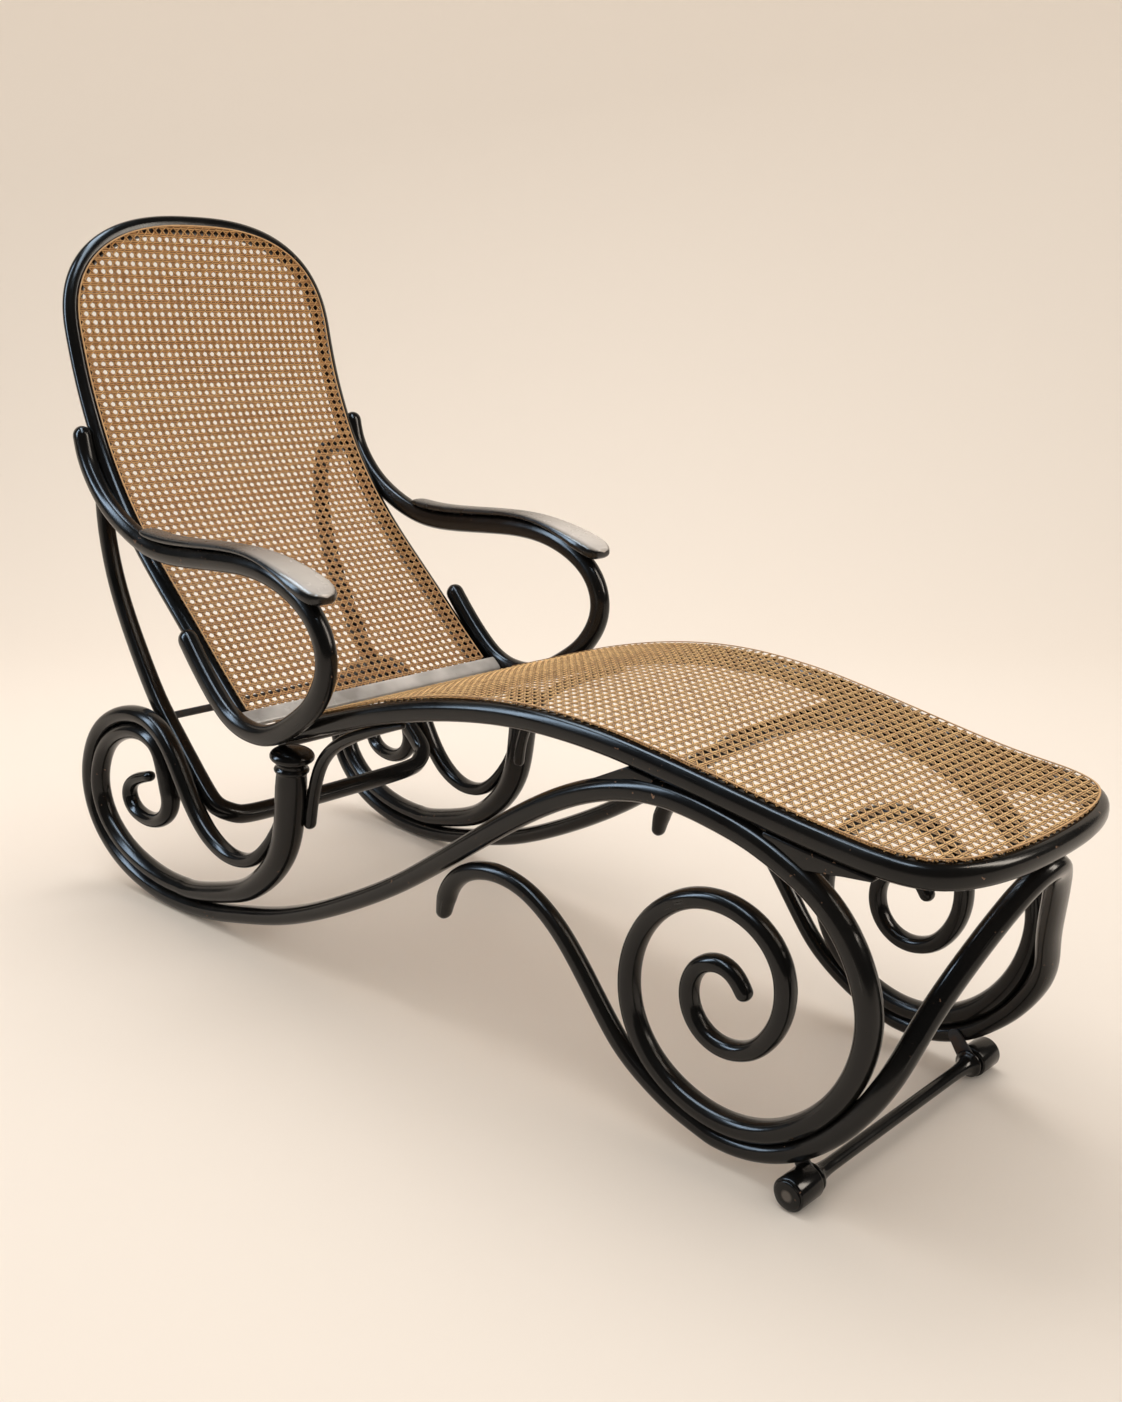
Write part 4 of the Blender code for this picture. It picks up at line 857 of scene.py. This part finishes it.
backLines = panelLines(backProfile, backNormals, backPanelHalf, sillTop, backRise)
layCane("backCane", backLines, "back", "back_cane")

binder = {"wide": 0.003, "tall": 0.0014, "in": 0.003, "sectionSides": 12, "square": 3.0, "tone": 0.6}


def binderStrip(name, strip, ups, body, node):
    strip, ups = bothHalves(strip), bothHalves(ups)
    axes = unit(np.cross(tangentsOf(strip), ups))
    line = (strip, axes, binder["tall"] / 2, binder["wide"] / 2, binder["tone"])
    settle(sweepLines(name, [line], binder["sectionSides"], binder["square"], binderMat), body, node)


keep = seatSide[:, 0] >= caneStart
seatUps = np.cross(railAcross, railWay)[:len(seatSide)]
binderRise = cane["panel"] / 2 + binder["tall"] / 2 + workGap
strip = seatSide + seatAcross * (cane["seatLap"] - binder["in"]) + seatUps * (seatRise + binderRise)
binderStrip("seatCaneBinder", strip[keep], seatUps[keep], "base", "seat_cane_binder")

bowRight = bow[:len(bow) // 2 + 1]
bowNormals = backNormal(bowRight[:, 2])
keep = runLength(bowRight) > sillTop
strip = bowRight + bowAcross[:len(bowRight)] * binder["in"] + bowNormals * (backRise + binderRise)
binderStrip("backCaneBinder", strip[keep], bowNormals[keep], "back", "back_cane_binder")
print("cane bound")

arm = {
    "path": ((-0.447, 0.808), (-0.44, 0.778), (-0.423, 0.747), (-0.397, 0.716), (-0.362, 0.688),
             (-0.32, 0.666), (-0.278, 0.65), (-0.23, 0.639), (-0.171, 0.636), (-0.1, 0.639), (-0.03, 0.643),
             (0.03, 0.644), (0.082, 0.639), (0.128, 0.627), (0.167, 0.609), (0.197, 0.585), (0.214, 0.557),
             (0.219, 0.529), (0.213, 0.501), (0.197, 0.474), (0.172, 0.447), (0.137, 0.423), (0.1, 0.402),
             (0.062, 0.388), (0.026, 0.384), (-0.012, 0.388), (-0.047, 0.402), (-0.081, 0.428),
             (-0.111, 0.457), (-0.134, 0.482), (-0.152, 0.503)),
    "rod": 0.0152, "tall": 0.0176,
}
armY = backBow["half"] + (backBow["rod"] + arm["rod"]) * flat8 + workGap
armLine = pathThrough(arm["path"])
for label, hand in sides:
    path = np.array([(x, hand * armY, z) for x, z in armLine])
    bentRod("arm_" + label, path, squaredAcross(path, (0, 1, 0)), arm["tall"], arm["rod"], "back",
            "arm_" + label, squareness=layout["bentSquare"])

armPad = {
    # x, height of its top, half width, greatest thickness
    "rows": ((-0.259, 0.669, 0.0125, 0.012), (-0.251, 0.6715, 0.017, 0.016), (-0.234, 0.6705, 0.019, 0.018),
             (-0.18, 0.6675, 0.0185, 0.018), (-0.11, 0.669, 0.019, 0.018), (-0.04, 0.672, 0.0195, 0.018),
             (0.025, 0.673, 0.0215, 0.018), (0.08, 0.669, 0.0255, 0.02), (0.128, 0.6605, 0.0295, 0.023),
             (0.168, 0.6515, 0.032, 0.026), (0.198, 0.6425, 0.0318, 0.027), (0.215, 0.635, 0.0265, 0.026),
             (0.223, 0.6295, 0.018, 0.018)),
    "armAbove": 0.6, "armFrom": -0.33,     # the stretch of the arm that carries it
    "gap": 0.0004, "spacing": 0.004, "endRound": 0.005, "noseAt": 0.55, "ringPoints": 32,
    "flatAcross": 0.72, "flatUp": 0.8,
    # the pad tops are painted paler, partly as wear of the polish and partly as a painted sheen: where along
    # the pad, how much at the rear, where across its height
    "wearSheenOver": (0.02, 0.15), "wearSheenRear": 0.12, "wearSheenUp": (0.74, 0.93),
}


def padRings():
    # rings of (x, low, high, half width) from the rear end to the front
    under = offsetLeft(armLine, arm["tall"] * roundFill)
    under = under[(under[:, 1] > armPad["armAbove"]) & (under[:, 0] > armPad["armFrom"])]
    rings = []
    for x, top, half, thick in pathThrough(armPad["rows"], armPad["spacing"]):
        seat = float(np.interp(x, under[:, 0], under[:, 1])) if x < under[:, 0].max() else 0.0
        rings.append((x, max(seat, top - thick) + armPad["gap"], top, half))
    return rings


def buildPad(label, hand):
    rings = padRings()
    for end, sign in ((0, -1), (-1, 1)):
        x, low, high, half = rings[end]
        middle = low + armPad["noseAt"] * (high - low)
        caps = [(x + sign * armPad["endRound"] * math.sin(a), middle + (low - middle) * math.cos(a),
                 middle + (high - middle) * math.cos(a), half * math.cos(a)) for a in domeAngles]
        rings = rings + caps if sign > 0 else caps[::-1] + rings
    bm = bmesh.new()
    rubAndSheen = bm.verts.layers.float.new("rubAndSheen")
    rows = []
    for x, low, high, half in rings:
        # how much painted sheen and wear the top of this ring gets
        rubbed = armPad["wearSheenRear"] + (1 - armPad["wearSheenRear"]) * np.interp(x, armPad["wearSheenOver"], (0.0, 1.0))
        row = []
        for angle in np.linspace(0, 2 * math.pi, armPad["ringPoints"], endpoint=False):
            c, s = math.cos(angle), math.sin(angle)
            u = math.copysign(abs(c) ** armPad["flatAcross"], c)
            v = math.copysign(abs(s) ** armPad["flatUp"], s) * 0.5 + 0.5
            vert = bm.verts.new((x + shiftX, hand * armY + u * half, low + v * (high - low)))
            vert[rubAndSheen] = float(rubbed * np.interp(v, armPad["wearSheenUp"], (0.0, 1.0)))
            row.append(vert)
        rows.append(row)
    joinRings(bm, zip(rows, rows[1:]))
    bm.faces.new(rows[0])
    bm.faces.new(rows[-1])
    bmesh.ops.recalc_face_normals(bm, faces=bm.faces)
    return finishMesh("armPad_" + label, bm, padSheenWoodMat)


for label, hand in sides:
    settle(buildPad(label, hand), "back", "arm_pad_" + label)
print("arms made")

prop = {
    "leg": ((-0.487, 0.72), (-0.491, 0.66), (-0.484, 0.605), (-0.47, 0.553), (-0.446, 0.498),
            (-0.416, 0.445), (-0.383, 0.393), (-0.348, 0.346), (-0.305, 0.303), (-0.264, 0.263),
            (-0.214, 0.217)),
    # x, inset from the leg, z
    "corner": ((-0.192, 0.006, 0.197), (-0.178, 0.03, 0.184), (-0.172, 0.068, 0.177)),
    "bar": (-0.172, 0.0, 0.176), "halfSpacing": 0.231, "square": 3.0,
    "half": ((0.0, 0.0138), (0.2, 0.015), (0.36, 0.0156), (0.64, 0.0156), (0.8, 0.015), (1.0, 0.0138)),
}
hingeX, _, hingeZ = middleOf("hinge_pin_left")
legY = -prop["halfSpacing"]
right = [(hingeX - shiftX, legY, hingeZ)] + [(x, legY, z) for x, z in prop["leg"]]
right += [(x, legY + inset, z) for x, inset, z in prop["corner"]]
path = pathThrough(bothHalves(np.array(right + [prop["bar"]])))
half = shareTable(path, prop["half"])
bentRod("propBail", path, carriedAcross(path, Vector((0, 1, 0))), half, half, "prop", "prop_bail",
        sectionSides=24, squareness=prop["square"])
print("prop made")

restRod = {"steps": 12}
restLow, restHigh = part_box("prop_rest_rod")
restHalf = (restHigh.x - restLow.x) / 2 / roundFill
restX, _, restZ = middleOf("prop_rest_rod")
straightRod("propRestRod", (restX - shiftX, restZ), (restLow.y, restHigh.y), restRod["steps"], (1, 0, 0),
            restHalf, restHalf, "base", "prop_rest_rod", mat=ironMat, slotName="iron")


def acrossSpan(node):
    # how far from the middle plane a node begins and ends, and its side
    low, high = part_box(node)
    inner, outer = sorted((abs(low.y), abs(high.y)))
    return inner, outer, 1 if high.y > 0 else -1


def pinProfile(node, pin, both):
    # domed head at the inner end, or at both ends, in the length that the frame gives
    inner, outer, hand = acrossSpan(node)
    radius, head, tall = pin["pin"], pin["head"], pin["headTall"]
    dome = [(head * math.sin(a), tall * (1 - math.cos(a))) for a in np.radians((0, 25, 50, 70, 90))]
    rows = [(r, inner + y) for r, y in dome] + [(radius, inner + tall)]
    if both:
        rows += [(radius, outer - tall)] + [(r, outer - y) for r, y in dome[::-1]]
    else:
        rows += [(radius, outer), (0.0, outer)]
    return [(r, hand * y) for r, y in rows]


def washerProfile(node, bore, rim, edge):
    low, high = (corner.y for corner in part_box(node))
    return [(bore, low), (rim - edge, low), (rim, low + edge),
            (rim, high - edge), (rim - edge, high), (bore, high)]


def turnedFitting(name, node, profile, mat, steps, body):
    settle(turnedPiece(name, profile, middleOf(node), mat, steps), body, node)


hinge = {"pin": 0.004, "head": 0.007, "headTall": 0.003}
fitting = {"pinSteps": 28, "washerSteps": 32, "washerEdge": 0.0006, "lugEdge": 0.0016, "blockEdge": 0.0035,
           "hangerEdge": 0.0008}
for label, _ in sides:
    node = "pivot_pin_" + label
    turnedFitting("pivotPin_" + label, node, pinProfile(node, pivot, False), ironMat, fitting["pinSteps"],
                  "base")
    node = "pivot_washer_" + label
    rows = washerProfile(node, pivot["pin"] + workGap, pivot["head"], fitting["washerEdge"])
    turnedFitting("pivotWasher_" + label, node, rows, ironMat, fitting["washerSteps"], "base")
    node = "hinge_pin_" + label
    turnedFitting("hingePin_" + label, node, pinProfile(node, hinge, True), ironMat, fitting["pinSteps"],
                  "back")
    softenedNode("hingeLug_" + label, "hinge_lug_" + label, ironMat, fitting["lugEdge"], "back")
    for name, node in (("rearBlock_", "rear_block_"), ("frontBlock_", "front_block_")):
        softenedNode(name + label, node + label, blackWoodMat, fitting["blockEdge"], "base")
    softenedNode("axleHanger_" + label, "axle_hanger_" + label, ironMat, fitting["hangerEdge"], "base")

roller = {"radius": 0.021, "bore": 0.0066, "rim": 0.0026, "dish": 0.0004, "hub": 0.0105, "hubStep": 0.001,
          "steps": 56}
for label, body in (("right", "roller_r"), ("left", "roller_l")):
    inner, outer, hand = acrossSpan("roller_" + label)
    radius, rim, dish, hub = (roller[key] for key in ("radius", "rim", "dish", "hub"))
    face = [(roller["bore"], dish), (hub, dish), (hub + roller["hubStep"], 0.0)]
    face += [(radius - rim * (1 - math.sin(a)), rim * (1 - math.cos(a))) for a in np.radians((0, 30, 60, 90))]
    rows = [(r, inner + y) for r, y in face] + [(r, outer - y) for r, y in face[::-1]]
    turnedFitting("roller_" + label, "roller_" + label, [(r, hand * y) for r, y in rows], blackWoodMat,
                  roller["steps"], body)

axle = {
    "radius": 0.009, "journal": 0.006, "neck": 0.008, "end": 0.018, "endEdge": (0.0008, 0.0007), "steps": 40,
    # bare spot in the middle of each end: its radius, where it has faded, how bare it is
    "rubbed": 0.005, "fadedAt": 1.7, "rubAndSheen": 0.4,
    # trumpet inside each flange: radius per axle radius, how far inside
    "trumpet": ((2.04, 0.0002), (2.06, 0.0016), (2.02, 0.0034), (1.78, 0.0052), (1.5, 0.008), (1.3, 0.0125),
                (1.17, 0.018), (1.08, 0.025), (1.02, 0.033), (1.0, 0.042)),
}
axleAt = middleOf("foot_axle")
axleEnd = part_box("foot_axle")[1].y
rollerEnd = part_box("roller_left")[1].y + workGap
hangerIn, hangerOut = (corner.y + gap for corner, gap in zip(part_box("axle_hanger_left"), (-workGap, workGap)))
rows = [(0.0, axleEnd), (axle["rubbed"], axleEnd), (axle["rubbed"] * axle["fadedAt"], axleEnd),
        (axle["end"] - axle["endEdge"][0], axleEnd), (axle["end"], axleEnd - axle["endEdge"][1]),
        (axle["end"], rollerEnd), (axle["journal"], rollerEnd), (axle["journal"], hangerOut),
        (axle["neck"], hangerOut), (axle["neck"], hangerIn)]
rows += [(axle["radius"] * r, hangerIn - y) for r, y in axle["trumpet"]]
obj = turnedPiece("footAxle", rows + [(r, -y) for r, y in rows[::-1]], axleAt, blackWoodMat, axle["steps"])
rubAndSheen = obj.data.attributes.new("rubAndSheen", "FLOAT", "POINT")
for vert, value in zip(obj.data.vertices, rubAndSheen.data):
    onEnd = abs(vert.co.y) > axleEnd - workGap / 3
    fromCentre = math.hypot(vert.co.x - axleAt[0], vert.co.z - axleAt[2])
    value.value = axle["rubAndSheen"] if onEnd and fromCentre < axle["rubbed"] + workGap else 0.0
settle(obj, "base", "foot_axle")
print("fittings made")

stage = {"paper": (0.88, 0.785, 0.685), "rough": 0.95, "specular": 0.1, "reach": 9.0, "front": -5.0,
         "bendAt": 2.2, "bend": 2.6, "rise": 7.0, "bendSteps": 16}
view = {"azimuth": 44.57, "elevation": 15.08, "at": (1.7928, -1.4085, 0.9855), "focalPixels": 1389,
        "imageTall": 1402}
a, e = math.radians(view["azimuth"]), math.radians(view["elevation"])
level = Vector((-math.sin(a), math.cos(a), 0.0))
rightward = Vector((math.cos(a), math.sin(a), 0.0))
forward = level * math.cos(e) - Vector((0.0, 0.0, math.sin(e)))


def buildStage():
    line = [(stage["front"], 0.0), (stage["bendAt"], 0.0)]
    for step in range(1, stage["bendSteps"] + 1):
        t = math.radians(step * 90 / stage["bendSteps"])
        line.append((stage["bendAt"] + stage["bend"] * math.sin(t), stage["bend"] * (1 - math.cos(t))))
    line.append((stage["bendAt"] + stage["bend"], stage["rise"]))
    bm = bmesh.new()
    rows = []
    for along, height in line:
        rows.append([bm.verts.new(level * along + rightward * w + Vector((0, 0, height)))
                     for w in (-stage["reach"], stage["reach"])])
    for p, q in zip(rows, rows[1:]):
        bm.faces.new((p[0], p[1], q[1], q[0]))
    bmesh.ops.recalc_face_normals(bm, faces=bm.faces)
    mat, tree, shader = startMaterial("seamless_paper")
    setSockets(tree, shader, {"Base Color": stage["paper"] + (1.0,), "Roughness": stage["rough"],
                              "Specular IOR Level": stage["specular"]})
    finishMesh("seamlessPaper", bm, mat)


buildStage()
# strength of the room's light on surfaces, and as it shows in the polish
studio = {"colour": (1.0, 0.98, 0.95, 1.0), "soft": 0.87, "mirrored": 0.06}
world = bpy.data.worlds.new("studio")
bpy.context.scene.world = world
world.use_nodes = True
tree = world.node_tree
rays = addNode(tree, "ShaderNodeLightPath", {})
strength = ramp(tree, rays["Is Glossy Ray"], studio["soft"], studio["mirrored"])
setSockets(tree, tree.nodes["Background"], {"Color": studio["colour"], "Strength": strength})

lampAim = Vector((0.0, 0.0, 0.4))
lamps = {
    # soft light on every surface
    "overhead": {"at": (-1.0, 0.4, 3.2), "size": (3.4, 2.6), "watts": 58, "colour": (0.97, 0.98, 1.0),
                 "lights": "surfaces"},
    # strips that only show as streaks in the polish
    "leftStreak": {"at": (-2.2, -2.6, 2.4), "size": (0.7, 3.0), "watts": 120, "colour": (0.62, 0.8, 1.0),
                   "lights": "polish"},
    "topStreak": {"at": (-0.3, -0.8, 3.2), "size": (3.2, 0.7), "watts": 110, "colour": (0.68, 0.84, 1.0),
                  "lights": "polish"},
    "rightStreak": {"at": (2.6, 1.6, 2.6), "size": (0.8, 2.6), "watts": 90, "colour": (1.0, 0.9, 0.78),
                    "lights": "polish"},
}
for name, lamp in lamps.items():
    data = bpy.data.lights.new(name, "AREA")
    data.shape = "RECTANGLE"
    data.size, data.size_y = lamp["size"]
    data.energy = lamp["watts"]
    data.color = lamp["colour"]
    obj = placed(name, data)
    obj.visible_diffuse = lamp["lights"] == "surfaces"
    obj.visible_glossy = lamp["lights"] == "polish"
    obj.location = lamp["at"]
    obj.rotation_euler = (lampAim - Vector(lamp["at"])).to_track_quat("-Z", "Y").to_euler()

cameraData = bpy.data.cameras.new("photoCamera")
cameraData.sensor_fit = "VERTICAL"
cameraData.sensor_height = 36.0
cameraData.lens = cameraData.sensor_height * view["focalPixels"] / view["imageTall"]
camera = placed("photoCamera", cameraData)
camera.matrix_world = (Matrix.Translation(Vector(view["at"]) + Vector((shiftX, 0.0, 0.0)))
                       @ Matrix((rightward, rightward.cross(forward), -forward)).transposed().to_4x4())
bpy.context.scene.camera = camera
bpy.context.scene.view_settings.view_transform = "Standard"
print("stage ready")
